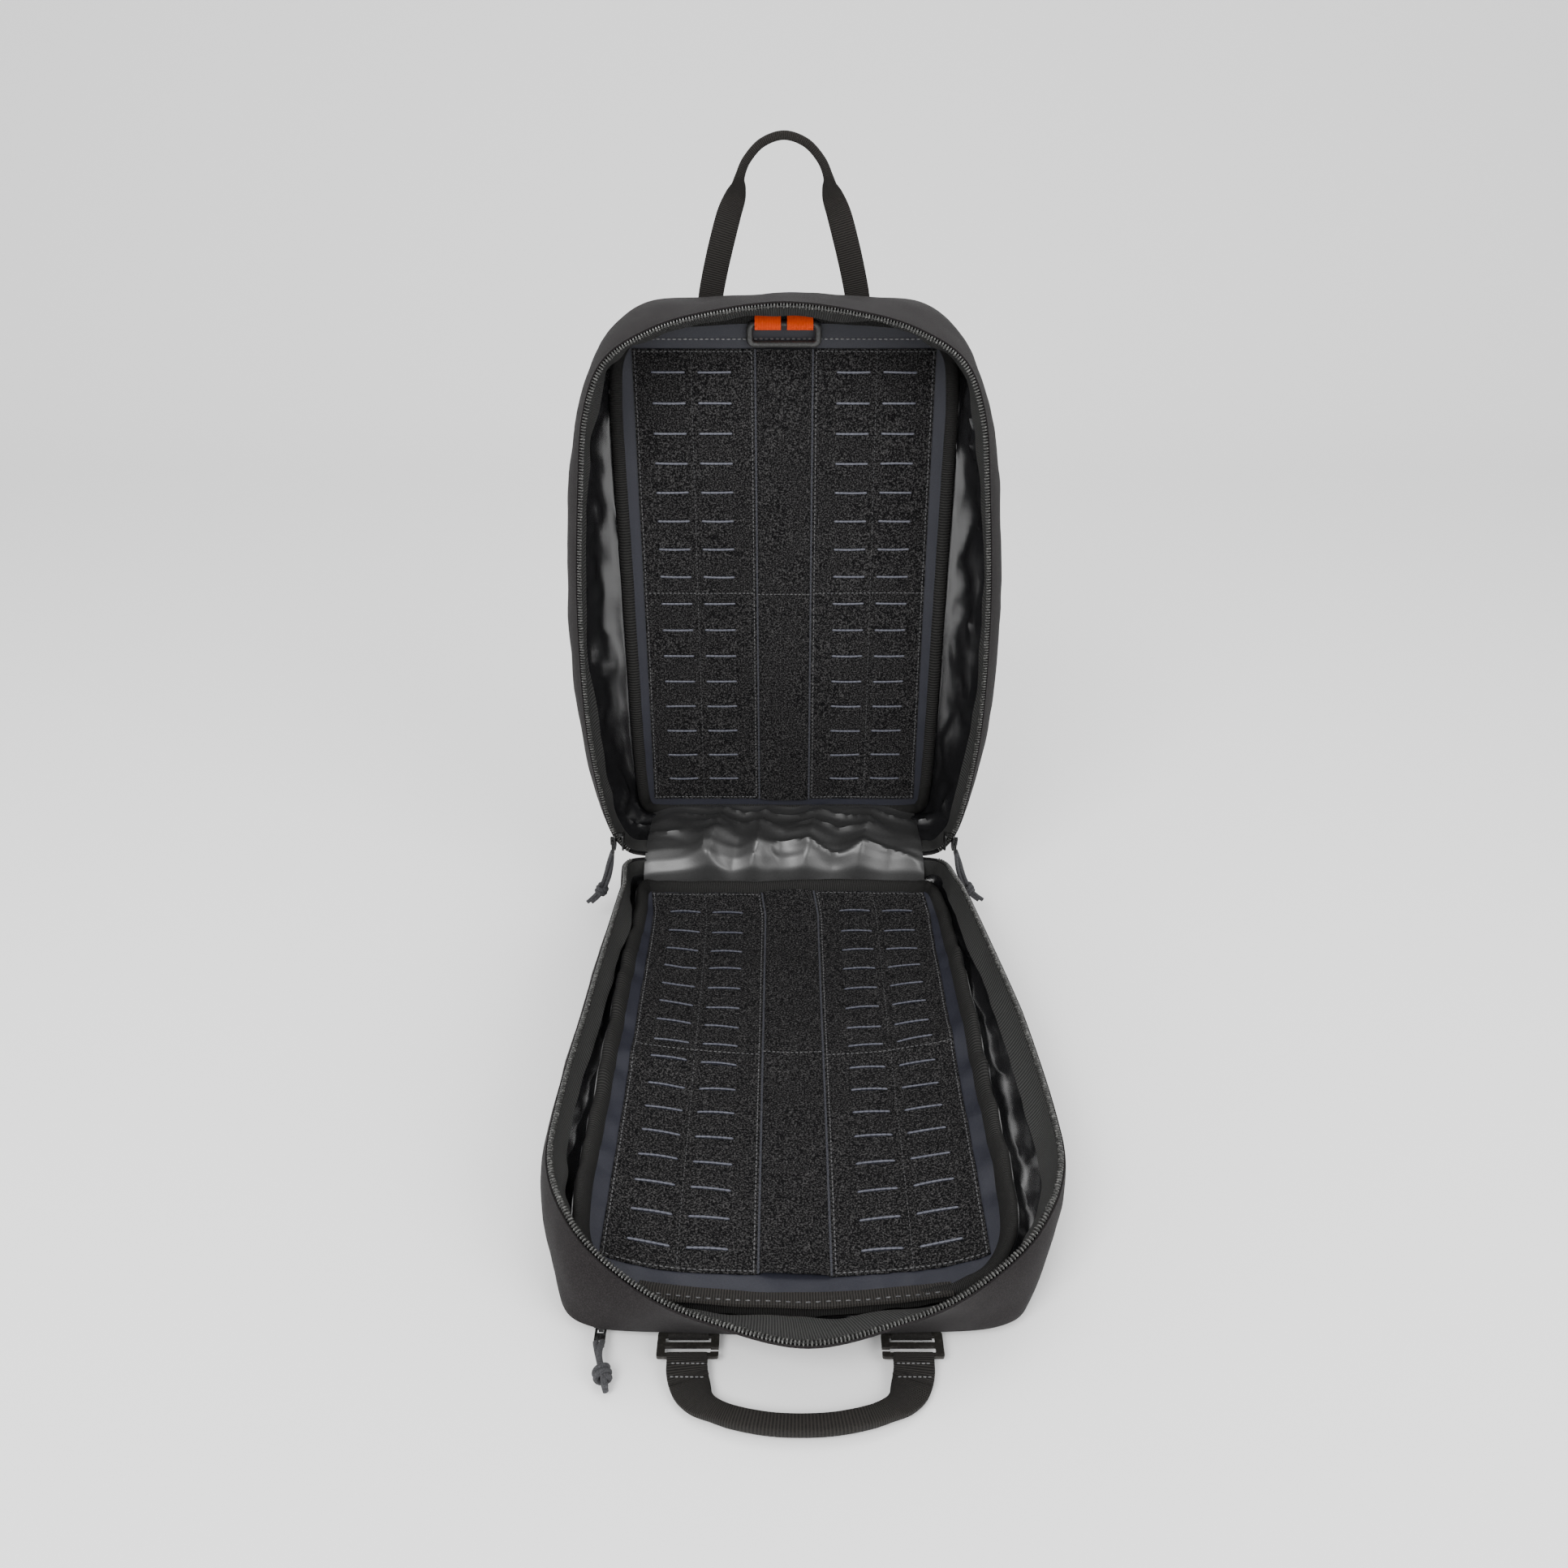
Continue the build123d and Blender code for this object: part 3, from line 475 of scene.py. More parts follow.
def select_only(piece):
    bpy.ops.object.select_all(action="DESELECT")
    bpy.context.view_layer.objects.active = piece
    piece.select_set(True)


def finish_piece(piece, material, body, nodes=()):
    """Gives a piece its finish, the body it rides on and the nodes that it stands for."""
    paint(piece, material)
    select_only(piece)
    bpy.ops.object.shade_smooth_by_angle(angle=math.radians(40))
    if body:
        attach(piece, body)
    if nodes:
        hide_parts(*nodes)
    return piece


def apply_modifier(piece, kind, **values):
    select_only(piece)
    modifier = piece.modifiers.new(kind.lower(), kind)
    for key, value in values.items():
        setattr(modifier, key, value)
    bpy.ops.object.modifier_apply(modifier=modifier.name)


def merge_and_turn(piece, close=False):
    """Joins doubled points, closes open ends if asked, and turns the faces outwards."""
    select_only(piece)
    bpy.ops.object.mode_set(mode="EDIT")
    bpy.ops.mesh.select_all(action="SELECT")
    bpy.ops.mesh.remove_doubles(threshold=0.00002)
    if close:
        bpy.ops.mesh.select_all(action="DESELECT")
        bpy.ops.mesh.select_non_manifold()
        bpy.ops.mesh.fill_holes(sides=0)
        bpy.ops.mesh.select_all(action="SELECT")
    bpy.ops.mesh.normals_make_consistent(inside=False)
    bpy.ops.object.mode_set(mode="OBJECT")


def scale_map(piece, width, length):
    """Makes one unit of the piece's map 25 mm of cloth, so that ribs keep their pitch."""
    layer = piece.data.uv_layers.active.data
    flat = np.zeros(len(layer) * 2, np.float32)
    layer.foreach_get("uv", flat)
    flat[0::2] *= width / RIB_UNIT
    flat[1::2] *= length / RIB_UNIT
    layer.foreach_set("uv", flat)


def grid_of(name, columns, rows, points):
    """A grid whose points, row by row, go to the given places."""
    bpy.ops.mesh.primitive_grid_add(x_subdivisions=columns - 1, y_subdivisions=rows - 1, size=1)
    piece = bpy.context.object
    piece.name = name
    piece.data.vertices.foreach_set("co", np.array(points, np.float32).ravel())
    return piece


def cut_faces(piece, gone):
    """Deletes the marked faces."""
    bpy.ops.object.mode_set(mode="EDIT")
    bpy.ops.mesh.select_all(action="DESELECT")
    bpy.ops.mesh.select_mode(type="FACE")
    bpy.ops.object.mode_set(mode="OBJECT")
    piece.data.polygons.foreach_set("select", gone)
    bpy.ops.object.mode_set(mode="EDIT")
    bpy.ops.mesh.delete(type="FACE")
    bpy.ops.mesh.select_mode(type="VERT")
    bpy.ops.object.mode_set(mode="OBJECT")


def cloth_grid(name, us, vs, place, material, body, thickness, nodes=(), cut=None,
               merge=False, size=None):
    """A grid whose crossings (u, v) go to place(u, v). cut(column, row) drops a face."""
    piece = grid_of(name, len(us), len(vs), [place(u, v) for v in vs for u in us])
    if cut:
        columns = len(us) - 1
        cut_faces(piece, [cut(i % columns, i // columns)
                          for i in range(len(piece.data.polygons))])
    piece.data.update()
    if merge:
        merge_and_turn(piece)
    if size:
        scale_map(piece, *size)
    apply_modifier(piece, "SOLIDIFY", thickness=thickness, offset=0)
    return finish_piece(piece, material, body, nodes)


def looped(half, name, vs, place, material, thickness, nodes=(), size=None):
    """Cloth that runs once round a half and closes on itself."""
    return cloth_grid(name, range(half.count + 1), vs, place, material, half.body,
                      thickness, nodes, merge=True, size=size)


def rounded(angle, power):
    """Cosine and sine, drawn out towards a square as power gets small."""
    return [math.copysign(abs(value) ** power, value)
            for value in (math.cos(angle), math.sin(angle))]


def swept(name, stations, material, body, corners=16, power=0.5, size=(0.05, 0.1),
          nodes=()):
    """A closed body swept through stations of (centre, side, up): half sizes are their lengths."""
    points = []
    for centre, side, up in stations:
        for k in range(corners + 1):
            c, s = rounded(math.tau * (k % corners) / corners, power)
            points.append(Vector(centre) + Vector(side) * c + Vector(up) * s)
    piece = grid_of(name, corners + 1, len(stations), points)
    scale_map(piece, *size)
    merge_and_turn(piece, close=True)
    return finish_piece(piece, material, body, nodes)


# %% [markdown]
# ## Panel surfaces and walls
#
# How deep each organiser panel lies comes first, since the wall linings run down to it. The
# rear panel is nearly flat. The front one rises to the fold, sinks in the middle of each side
# and at the far end, and has one slanting fold and a puckered border.
#
# A side wall is padded twill outside and a coated lining inside. Both are one closed loop of
# cloth from the rim to the outer face. The outside swells between its edges as stuffed cloth
# does. The lining carries long soft creases, which is what makes its gloss look like cloth.

# %% Panel surfaces and walls
WALL = 0.003
FACE_MIDDLE = np.array([0.0, 0.237])


def rear_panel_d(x, s):
    return (REAR_PANEL - 0.0006 - wrinkle(x, s, 0.3, 14, 0.0015)
            - wrinkle(x, s, 0.7, 45, 0.0006))


def front_panel_d(x, s):
    rise = 0.027 * math.exp(-max(s - 0.012, 0) / 0.055)
    ripple = wrinkle(x, s, 1.3, 9, 0.006) + wrinkle(x * 0.6, s, 2.1, 26, 0.0022)
    trough = 9.5 * abs(x) ** 3.15 * clamp((s - 0.02) / 0.14)
    fold = 0.0050 * math.exp(-((s - 0.235 + x * 0.10) / 0.014) ** 2) * min(abs(x) / 0.09, 1)
    edge = max(abs(x) - 0.118, 0) / 0.02
    curl = 0.004 * edge * (1 + 1.2 * waver(s * 45, x * 8, 5.0))
    dish = 0.0080 * clamp((s - 0.29) / 0.14) ** 1.5 * (1 - (x / 0.135) ** 2)
    border = max(abs(x) - 0.124, s - 0.437, 0)
    pucker = min(border / 0.006, 1) * (0.0022 * waver(x * 70, s * 50, 9.0)
                                       + 0.0010 * waver(x * 160, s * 90, 4.0))
    return (FRONT_PANEL + 0.0015 - rise - trough - fold - abs(ripple) * 0.8 - curl + dish
            + pucker)


rear.panel_d, front.panel_d = rear_panel_d, front_panel_d


def make_outer_wall(half):
    def place(i, v):
        x, s, d = half.wall(i, v)
        n = half.out[i % half.count]
        lump = wrinkle(x, s, d + half.depth, 22, 0.0022) + wrinkle(x, s, d, 60, 0.0008)
        lump *= math.sin(math.pi * clamp(v)) if s > 0.01 else 0
        return half.place(x + n[0] * lump, s + n[1] * lump, d)

    steps = [0, 0.03, 0.08, 0.16, 0.26, 0.38, 0.5, 0.62, 0.74, 0.84, 0.91, 0.96, 0.985, 1.0]
    looped(half, f"{half.name}_shell", steps, place, SHELL, 0.0014,
           nodes_of(half, "side_walls", "top_wall", "bottom_wall"))


def make_wall_lining(half):
    def place(i, v):
        x, s, d = half.wall(i, v * 0.9, inset=WALL, swell=0.75)
        k = i % half.count
        target = half.panel[k] + half.out[k] * 0.002
        share = clamp((v - 0.22) / 0.78)
        pull = share ** 1.7
        x, s = x * (1 - pull) + target[0] * pull, s * (1 - pull) + target[1] * pull
        d = d * (1 - pull) + (half.panel_d(*target) + 0.0008) * pull
        n = half.out[k]
        fold = math.sin(math.pi * share) ** 0.8
        crease = abs(waver(x * 9, s * 24 + d * 30, d * 20 + half.depth * 50))
        pinch = abs(waver(x * 6, s * 34, half.depth * 70 + share * 2.5))
        pinch = max(0.16 - pinch, 0) / 0.16 * math.sin(math.pi * min(share * 1.15, 1)) ** 2
        lump = fold * (0.0060 * crease - 0.0010 + 0.0030 * pinch
                       + wrinkle(x, s, d * 0.5, 16, 0.0050)
                       + wrinkle(x * 2, s, d * 0.4, 70, 0.0012))
        return half.place(x - n[0] * lump, s - n[1] * lump, d)

    looped(half, f"{half.name}_wall_lining", spread(0, 1, 30), place, WALL_LINING,
           0.0008)


def make_face(half, name, nodes):
    """The flat outer face, drawn in ring by ring to its middle."""
    def place(i, w):
        flat = half.base[i % half.count] * (1 - w) + FACE_MIDDLE * w
        return half.place(flat[0], flat[1], half.depth - 0.0007)

    looped(half, name, [0, 0.02, 0.06, 0.15, 0.3, 0.5, 0.75, 1], place, SHELL,
           0.0014, nodes)


for half in HALVES:
    make_outer_wall(half)
for half in HALVES:
    make_wall_lining(half)
make_face(rear, "rear_back_face", ["back_wall", "back_foam", "frame_sheet"])
make_face(front, "front_outer_face", ["front_face_wall", "front_stiffener"])

# %% [markdown]
# ## Organiser panels
#
# Each panel is slate nylon with two fields of loop pile, cut with rows of slots that take
# webbing. The slots are real holes: the grid's lines follow the slots' edges and the faces
# between them are taken out.

# %% Panels and their fields
FIELD_IN, FIELD_OUT = 0.024, 0.124
FIELD_LOW, FIELD_HIGH = 0.024, 0.438
SLOT_COLUMNS = (0.05715, 0.09525)
SLOT_HALF, SLOT_WIDTH = 0.014, 0.0024
ROW_PITCH, FIRST_ROW, ROW_COUNT = 0.0249, 0.046, 16


def half_width_at(half, s):
    """Half width of the panel's outline at s."""
    side = half.panel[: half.count // 2 + 1]
    low = np.argmin(side[:, 1])
    order = side[low:]
    return float(np.interp(s, order[:, 1], order[:, 0]))


def make_panel(half):
    low, high = half.panel[:, 1].min(), half.panel[:, 1].max()

    def place(u, v):
        s = low + (high - low) * v
        return half.on_panel(u * half_width_at(half, s), s)

    rows = spread(0, 0.9, 110) + [0.92, 0.94, 0.955, 0.97, 0.98, 0.99, 0.995, 0.999]
    cloth_grid(f"{half.name}_panel_cloth", spread(-1, 1, 61), rows, place, LINING,
               half.body, 0.001, nodes_of(half, "liner_panel"))


def field_columns():
    """Grid lines across a field, with lines on each slot's ends."""
    columns = [FIELD_IN, FIELD_IN + 0.009]
    for centre in SLOT_COLUMNS:
        columns += spread(centre - SLOT_HALF, centre + SLOT_HALF, 7)
    return columns + [FIELD_OUT - 0.007, FIELD_OUT]


def field_rows():
    """Grid lines along a field, with a line on each side of each slot."""
    rows, last = [FIELD_LOW], FIELD_LOW
    for k in range(ROW_COUNT):
        middle = FIRST_ROW + ROW_PITCH * k
        rows += spread(last, middle - SLOT_WIDTH / 2, 6)[1:]
        rows.append(middle + SLOT_WIDTH / 2)
        last = rows[-1]
    return rows + spread(last, FIELD_HIGH, 5)[1:]


def make_fields(half):
    columns, rows = field_columns(), field_rows()

    def is_slot(column, row):
        x = (columns[column] + columns[column + 1]) / 2
        s = (rows[row] + rows[row + 1]) / 2
        near_row = abs((s - FIRST_ROW + ROW_PITCH / 2) % ROW_PITCH - ROW_PITCH / 2)
        in_column = any(abs(x - centre) < SLOT_HALF for centre in SLOT_COLUMNS)
        return in_column and near_row < SLOT_WIDTH / 4 and rows[0] + 0.01 < s < rows[-1] - 0.01

    for side, label in SIDES:
        cloth_grid(f"{half.name}_loop_field_{label}", columns, rows,
                   lambda x, s: half.on_panel(side * x, s, 0.0011), PILE,
                   half.body, 0.0010, nodes_of(half, "loop_fields"), cut=is_slot)


for half in HALVES:
    make_panel(half)
for half in HALVES:
    make_fields(half)

# %% Raised strips between the fields
STRIP_HALF, STRIP_HEIGHT = 0.023, 0.0035


def make_strip(half):
    def place(u, s):
        crown = STRIP_HEIGHT * (1 - abs(u) ** 6) ** 0.5 + 0.0006
        dimple = 0.0003 * math.sin(s * 300) * abs(u) ** 3
        return half.on_panel(u * STRIP_HALF, s, crown - dimple)

    us = [-1, -0.985, -0.95, -0.88, -0.7, -0.35, 0, 0.35, 0.7, 0.88, 0.95, 0.985, 1]
    cloth_grid(f"{half.name}_raised_strip", us, spread(FIELD_LOW, FIELD_HIGH, 90), place, PILE,
               half.body, 0.0008, nodes_of(half, "loop_strip"))


for half in HALVES:
    make_strip(half)

# %% [markdown]
# ## Bindings, zip tapes and coil teeth
#
# Raw cloth edges are folded into a ribbed binding tape. It is a grid that runs round the
# panel and is only a few faces wide, pulled up into a half round. The zip tape hugs the wall
# under the rim, and the coil is one small rounded link copied every few millimetres.

# %% Seam bindings
BINDING_WIDTH = 0.010
rear.fin, front.fin = 0.0034, 0.0050


def make_binding(half):
    inward = outward(half.panel)

    def place(i, v):
        k = i % half.count
        flat = half.panel[k] - inward[k] * BINDING_WIDTH * (v - 0.12)
        lift = half.fin * math.sin(math.pi * clamp(v)) ** 0.6
        lump = wrinkle(flat[0], flat[1], 0.9, 50, 0.0008)
        return half.on_panel(flat[0], flat[1], lift + 0.0004 + lump)

    looped(half, f"{half.name}_panel_binding", [0, 0.08, 0.2, 0.35, 0.5, 0.65, 0.8, 0.92, 1],
           place, BINDING_CLOTH, 0.0008, nodes_of(half, "seam_binding"),
           (1.15, BINDING_WIDTH))


for half in HALVES:
    make_binding(half)

# %% Zip tapes
TAPE_WIDTH = 0.021
TAPE_LEAN = 0.0080


def make_tape(half):
    def place(i, v):
        k = i % half.count
        share = 0.0008 + v * TAPE_WIDTH
        depth = half.depth - half.rim_depth(half.rim[k][1])
        lean = TAPE_LEAN * v * (1 + 0.5 * waver(i * 0.13, half.depth * 90, 2.0))
        lean *= clamp((half.rim[k][1] - 0.006) / 0.05)
        x, s, d = half.wall(i, share / depth, inset=WALL + 0.0010 + lean, swell=0.8)
        lump = 0.0016 * v * waver(x * 40, s * 40, 3.0)
        n = half.out[k]
        return half.place(x + n[0] * lump, s + n[1] * lump, d)

    looped(half, f"{half.name}_tape", spread(0, 1, 7), place, ZIP_TAPE, 0.0008,
           nodes_of(half, "zip_tape"), (1.25, TAPE_WIDTH))


for half in HALVES:
    make_tape(half)

# %% [markdown]
# Whatever repeats is modelled once, as a small block with rounded edges, and then copied with
# its own size and direction: coil teeth, stitches and the lips of the slots, whose pale colour
# is partly a painted highlight.

# %% Copied blocks
def rounded_block(bevel):
    """The points and faces of one small block with rounded edges, two units across."""
    bpy.ops.mesh.primitive_cube_add(size=2)
    block = bpy.context.object
    apply_modifier(block, "BEVEL", width=bevel, segments=1, limit_method="NONE")
    points = [v.co.copy() for v in block.data.vertices]
    faces = [list(polygon.vertices) for polygon in block.data.polygons]
    bpy.ops.object.delete()
    return points, faces


BLOCK_POINTS, BLOCK_FACES = rounded_block(0.55)


def copies(name, frames, material, body, nodes=()):
    """One piece made of blocks. A frame is centre, along, side and up, in half lengths."""
    points, faces = [], []
    for centre, along, side, up in frames:
        start = len(points)
        points += [centre + along * p.x + side * p.y + up * p.z for p in BLOCK_POINTS]
        faces += [[start + index for index in face] for face in BLOCK_FACES]
    bpy.ops.mesh.primitive_cube_add(size=1)
    piece = bpy.context.object
    piece.name = name
    piece.data.clear_geometry()
    piece.data.from_pydata(points, [], faces)
    piece.data.update()
    merge_and_turn(piece)
    return finish_piece(piece, material, body, nodes)


def along_path(points, pitch):
    """Evenly spaced places and directions on a line of points."""
    points = [Vector(p) for p in points]
    out, carry = [], pitch / 2
    for a, b in zip(points, points[1:]):
        run = (b - a).length
        while carry <= run and run > 0:
            out.append((a.lerp(b, carry / run), (b - a) / run))
            carry += pitch
        carry -= run
    return out


def stitches(name, lines, up, body, pitch, length, width, thread=THREAD):
    frames = []
    for line in lines:
        for centre, run in along_path(line, pitch):
            side = run.cross(up).normalized()
            frames.append((centre, run * length / 2, side * width / 2,
                           side.cross(run) * width / 2.6))
    copies(name, frames, thread, body)


# %% Coil teeth
TOOTH_PITCH, TEETH_START = 0.0024, 0.006


def make_teeth(half):
    line = []
    # the outline starts in the middle of the fold, where there are no teeth, so the points
    # that are kept make one open run
    for i in range(half.count + 1):
        x, s, d = half.wall(i, 0, inset=0.0024)
        if s > TEETH_START:
            line.append(half.place(x, s, d - 0.0011))
    frames = []
    for centre, run in along_path(line, TOOTH_PITCH):
        side = run.cross(-half.up).normalized()
        frames.append((centre, run * 0.00088, side * 0.0019, side.cross(run) * 0.0014))
    copies(f"{half.name}_coil", frames, TEETH, half.body,
           nodes_of(half, "zip_teeth"))


for half in HALVES:
    make_teeth(half)

# %% [markdown]
# ## Stitching and slots
#
# Runs of thread hold the fields down: round each field, beside the strip, between the two
# columns of slots and once across the middle. A slot's cut edge shows the slate cloth under
# the pile, so each slot gets a thin lip that stands a little open. The lip is painted much
# paler than the slate lining: its colour is the slate cloth plus a painted highlight of the
# light on the cut edges.

# %% Stitch lines on the panels
def panel_line(half, x0, s0, x1, s1, lift, steps=60):
    line = []
    for k in range(steps + 1):
        x = x0 + (x1 - x0) * k / steps
        s = s0 + (s1 - s0) * k / steps
        line.append(half.on_panel(x, s, lift))
    return line


def make_panel_stitches(half):
    lines, faint, lift = [], [], 0.0018
    low, high = FIELD_LOW + 0.002, FIELD_HIGH - 0.002
    middle = FIRST_ROW + ROW_PITCH * 7.4
    between = sum(SLOT_COLUMNS) / 2
    for side in (-1, 1):
        inner, outer = side * (FIELD_IN + 0.0025), side * (FIELD_OUT - 0.002)
        lines += [panel_line(half, *ends, lift) for ends in (
            (inner, low, inner, high), (outer, low, outer, high), (inner, low, outer, low),
            (inner, high, outer, high), (inner, middle, outer, middle))]
        faint.append(panel_line(half, side * between, low, side * between, high, 0.0016))
    lines.append(panel_line(half, -FIELD_IN, middle, FIELD_IN, middle, STRIP_HEIGHT + 0.0016))
    stitches(f"{half.name}_field_stitches", lines, half.up, half.body, 0.0036, 0.0023, 0.0009,
             DARK_THREAD)
    stitches(f"{half.name}_column_stitches", faint, half.up, half.body, 0.0036, 0.0020, 0.0004,
             DARK_THREAD)


for half in HALVES:
    make_panel_stitches(half)
BORDER_X, BORDER_S = 0.122, 0.4455
border_line = [panel_line(rear, -BORDER_X, BORDER_S, BORDER_X, BORDER_S, 0.0009)]
stitches("rear_border_stitches", border_line, rear.up, rear.body, 0.0044, 0.0028, 0.0013)
EDGING_X = 0.0236


def halves_of(points):
    """The middle and the half length of each span of a line."""
    points = [Vector(p) for p in points]
    return [((a + b) / 2, (b - a) / 2) for a, b in zip(points, points[1:])]


def make_strip_edging(half):
    """The slate cloth that shows as a line on each side of the strip."""
    frames = []
    for side in (-1, 1):
        x = side * EDGING_X
        for centre, run in halves_of(panel_line(half, x, FIELD_LOW, x, FIELD_HIGH, 0.0021, 120)):
            frames.append((centre, run * 1.05, run.cross(half.up).normalized() * 0.0009,
                           half.up * 0.0006))
    copies(f"{half.name}_strip_edging", frames, EDGING, half.body)


for half in HALVES:
    make_strip_edging(half)


# %% Slot lips
def make_slot_lips(half):
    frames = []
    for side, centre, row in itertools.product((-1, 1), SLOT_COLUMNS, range(ROW_COUNT)):
        bow = 0.0016 * waver(centre * 90 * side, row * 1.7, 4.2)
        tilt = 0.0009 * waver(centre * 50 * side, row * 2.3, 9.1)
        points = []
        for k in range(8):
            t = k / 7 * 2 - 1
            x = side * centre + t * (SLOT_HALF - 0.0006)
            s = FIRST_ROW + ROW_PITCH * row + bow * (1 - t * t) * 0.4 + tilt * t * 0.5
            points.append(half.on_panel(x, s, 0.0015 + 0.0009 * (1 - t * t)))
        for middle, run in halves_of(points):
            across = run.cross(half.up).normalized()
            frames.append((middle, run * 1.12, across * 0.00085,
                           across.cross(run).normalized() * 0.00055))
    # the lips' pale colour is partly a painted highlight of the slot edges
    copies(f"{half.name}_slot_lips", frames, SLOT_CLOTH_AND_HIGHLIGHT, half.body)


for half in HALVES:
    make_slot_lips(half)

# %% [markdown]
# ## Webbing band at the end of the front half
#
# A band of ribbed webbing runs along the foot of the end wall, held by one row of dark thread.

# %% Webbing band
BAND_HALF, BAND_WIDTH = 0.098, 0.017


def band_point(x, v):
    s = 0.4560 - 0.75 * x * x + BAND_WIDTH * v
    d = FRONT_PANEL + 0.0020 - 0.0075 * v - 0.30 * x * x - wrinkle(x, v * 0.1, 6.0, 30, 0.002)
    return front_place(x, s, d)


cloth_grid("front_band", spread(-BAND_HALF, BAND_HALF, 60), spread(0, 1, 6), band_point,
           WEBBING_ACROSS, "front_half", 0.0016, ["front_webbing_band"],
           size=(2 * BAND_HALF, BAND_WIDTH))
band_line = [Vector(band_point(x, 0.72)) + Vector((0, 0, 0.0012))
             for x in spread(-BAND_HALF + 0.004, BAND_HALF - 0.004, 80)]
stitches("front_band_stitches", [band_line], Vector((0, 0, 1)), "front_half", 0.0062, 0.0030,
         0.0010, DARK_THREAD)

# %% [markdown]
# ## Gusset over the fold
#
# One strip of shiny nylon closes the gap between the panels and lets the pack open. It is
# cut longer than the gap, so that it crumples into soft peaks.

# %% Gusset
GUSSET_HALF = 0.125
GUSSET_LINE = [(0.3090, 0.0840), (0.3040, 0.0815), (0.2900, 0.0805), (0.2720, 0.0800),
               (0.2550, 0.0795), (0.2430, 0.0760), (0.2340, 0.0690), (0.2280, 0.0600),
               (0.2250, 0.0480)]


def gusset_point(u, v):
    place = v * (len(GUSSET_LINE) - 1)
    k = min(int(place), len(GUSSET_LINE) - 2)
    t = place - k
    y, z = (a * (1 - t) + b * t for a, b in zip(GUSSET_LINE[k], GUSSET_LINE[k + 1]))
    x = u * (GUSSET_HALF + 0.004 * v)
    free = math.sin(math.pi * v) ** 0.7
    phase = x / 0.052 + 0.9 * waver(x * 9, 2.0, 1.0) + 0.45 * (v - 0.5)
    peak = 1 - 2 * abs(phase % 1.0 - 0.5)
    cross = max(1 - abs(waver(x * 16 + y * 22, y * 34, 8.0)) * 2.4, 0)
    lump = free * (0.0120 * peak ** 1.5 * (0.55 + 0.45 * v) + 0.0060 * cross ** 1.5)
    lump *= 1 - 0.7 * abs(u) ** 6
    droop = 0.006 * abs(u) ** 8
    return (x, y - lump * 0.25, z - 0.0010 * free + lump - droop)


gusset = cloth_grid("gusset_strip", spread(-1, 1, 110), spread(0, 1, 44), gusset_point, GUSSET,
                    None, 0.0008, ["bottom_gusset"])
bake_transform(gusset)

# %% [markdown]
# ## Hang loops and ring
#
# Two short orange webbing loops are folded round the top bar of a moulded ring. Each
# starts behind the bar, turns under it and comes back up in front, where it is sewn down.

# %% Orange loops
LOOP_WIDTH, LOOP_X = 0.0210, 0.0130
BAR_S, BAR_Y, LOOP_R = 0.4575, 0.30545, 0.0040


def loop_path(t):
    """y and s of the folded webbing: down behind the bar, round it and up to the seam."""
    if t < 0.2:
        return BAR_Y + LOOP_R, BAR_S + 0.006 * (1 - t / 0.2)
    if t < 0.6:
        angle = math.pi * (t - 0.2) / 0.4
        return BAR_Y + LOOP_R * math.cos(angle), BAR_S - LOOP_R * math.sin(angle)
    up = (t - 0.6) / 0.4
    return BAR_Y - LOOP_R + 0.0075 * up ** 2.2, BAR_S + 0.0100 * up


for side, label in SIDES:
    def loop_point(u, t):
        y, s = loop_path(t)
        return (side * LOOP_X + u * LOOP_WIDTH / 2, y, HINGE_Z + s)

    cloth_grid(f"orange_loop_{label}", spread(-1, 1, 9), spread(0, 1, 40), loop_point, ORANGE,
               "rear_half", 0.0014, ["hang_loops"], size=(LOOP_WIDTH, 0.03))
    seam = [(side * LOOP_X + u * LOOP_WIDTH / 2, BAR_Y - LOOP_R + 0.0042, HINGE_Z + BAR_S + 0.0080)
            for u in (-0.85, 0.85)]
    stitches(f"orange_loop_stitches_{label}", [seam], Vector((0, -1, 0)), "rear_half", 0.0030,
             0.0020, 0.0007)


# %% Finishes of the nodes that stay as they were built
finishes = {"hang_ring": RING, "hook_buckles": HOOK, "pocket_slider": SLIDER,
            "pocket_pull_tab": SLIDER, "pocket_zip": TEETH, "hook_anchors": WEBBING,
            "handle_patches": WEBBING, "lower_anchors": WEBBING}
for _, side in SIDES:
    finishes |= {f"zip_slider_{side}": SLIDER, f"zip_pull_{side}_tab": SLIDER,
                 f"ladder_lock_{side}": PLASTIC}
for node, material in finishes.items():
    paint(frame["nodes"][node], material)

# %% [markdown]
# ## Carry handles
#
# A handle is one length of webbing. Its legs lie flat, and over the grip the webbing is folded
# in half lengthways and sewn, so it turns narrow and thick. The body is swept along the line
# of the webbing with a half width and a half thickness at each station.

# %% Swept webbing
def curve_through(points, steps):
    """The same curve through open points with any number of values each."""
    rows = [np.array(p, float) for p in points]
    rows = [2 * rows[0] - rows[1]] + rows + [2 * rows[-1] - rows[-2]]
    out = []
    for a, b, c, e in zip(rows, rows[1:], rows[2:], rows[3:]):
        out += curve_span(a, b, c, e, steps)
    return out + [rows[-2]]


def webbing_body(name, rows, flat, body, nodes=(), steps=8):
    """rows are x, y, z, half width, half thickness; flat is the direction of thickness."""
    rows = curve_through(rows, steps)
    flat, stations, length = Vector(flat), [], 0
    for k, row in enumerate(rows):
        ahead, behind = rows[min(k + 1, len(rows) - 1)], rows[max(k - 1, 0)]
        run = Vector(ahead[:3] - behind[:3]).normalized()
        length += np.linalg.norm(ahead[:3] - row[:3])
        side = run.cross(flat).normalized()
        stations.append((row[:3], side * row[3], side.cross(run).normalized() * row[4]))
    swept(name, stations, WEBBING, body, 20, 0.35, (0.05, length), nodes)


def mirrored(rows):
    return rows + [(-row[0], *row[1:]) for row in rows[-2::-1]]


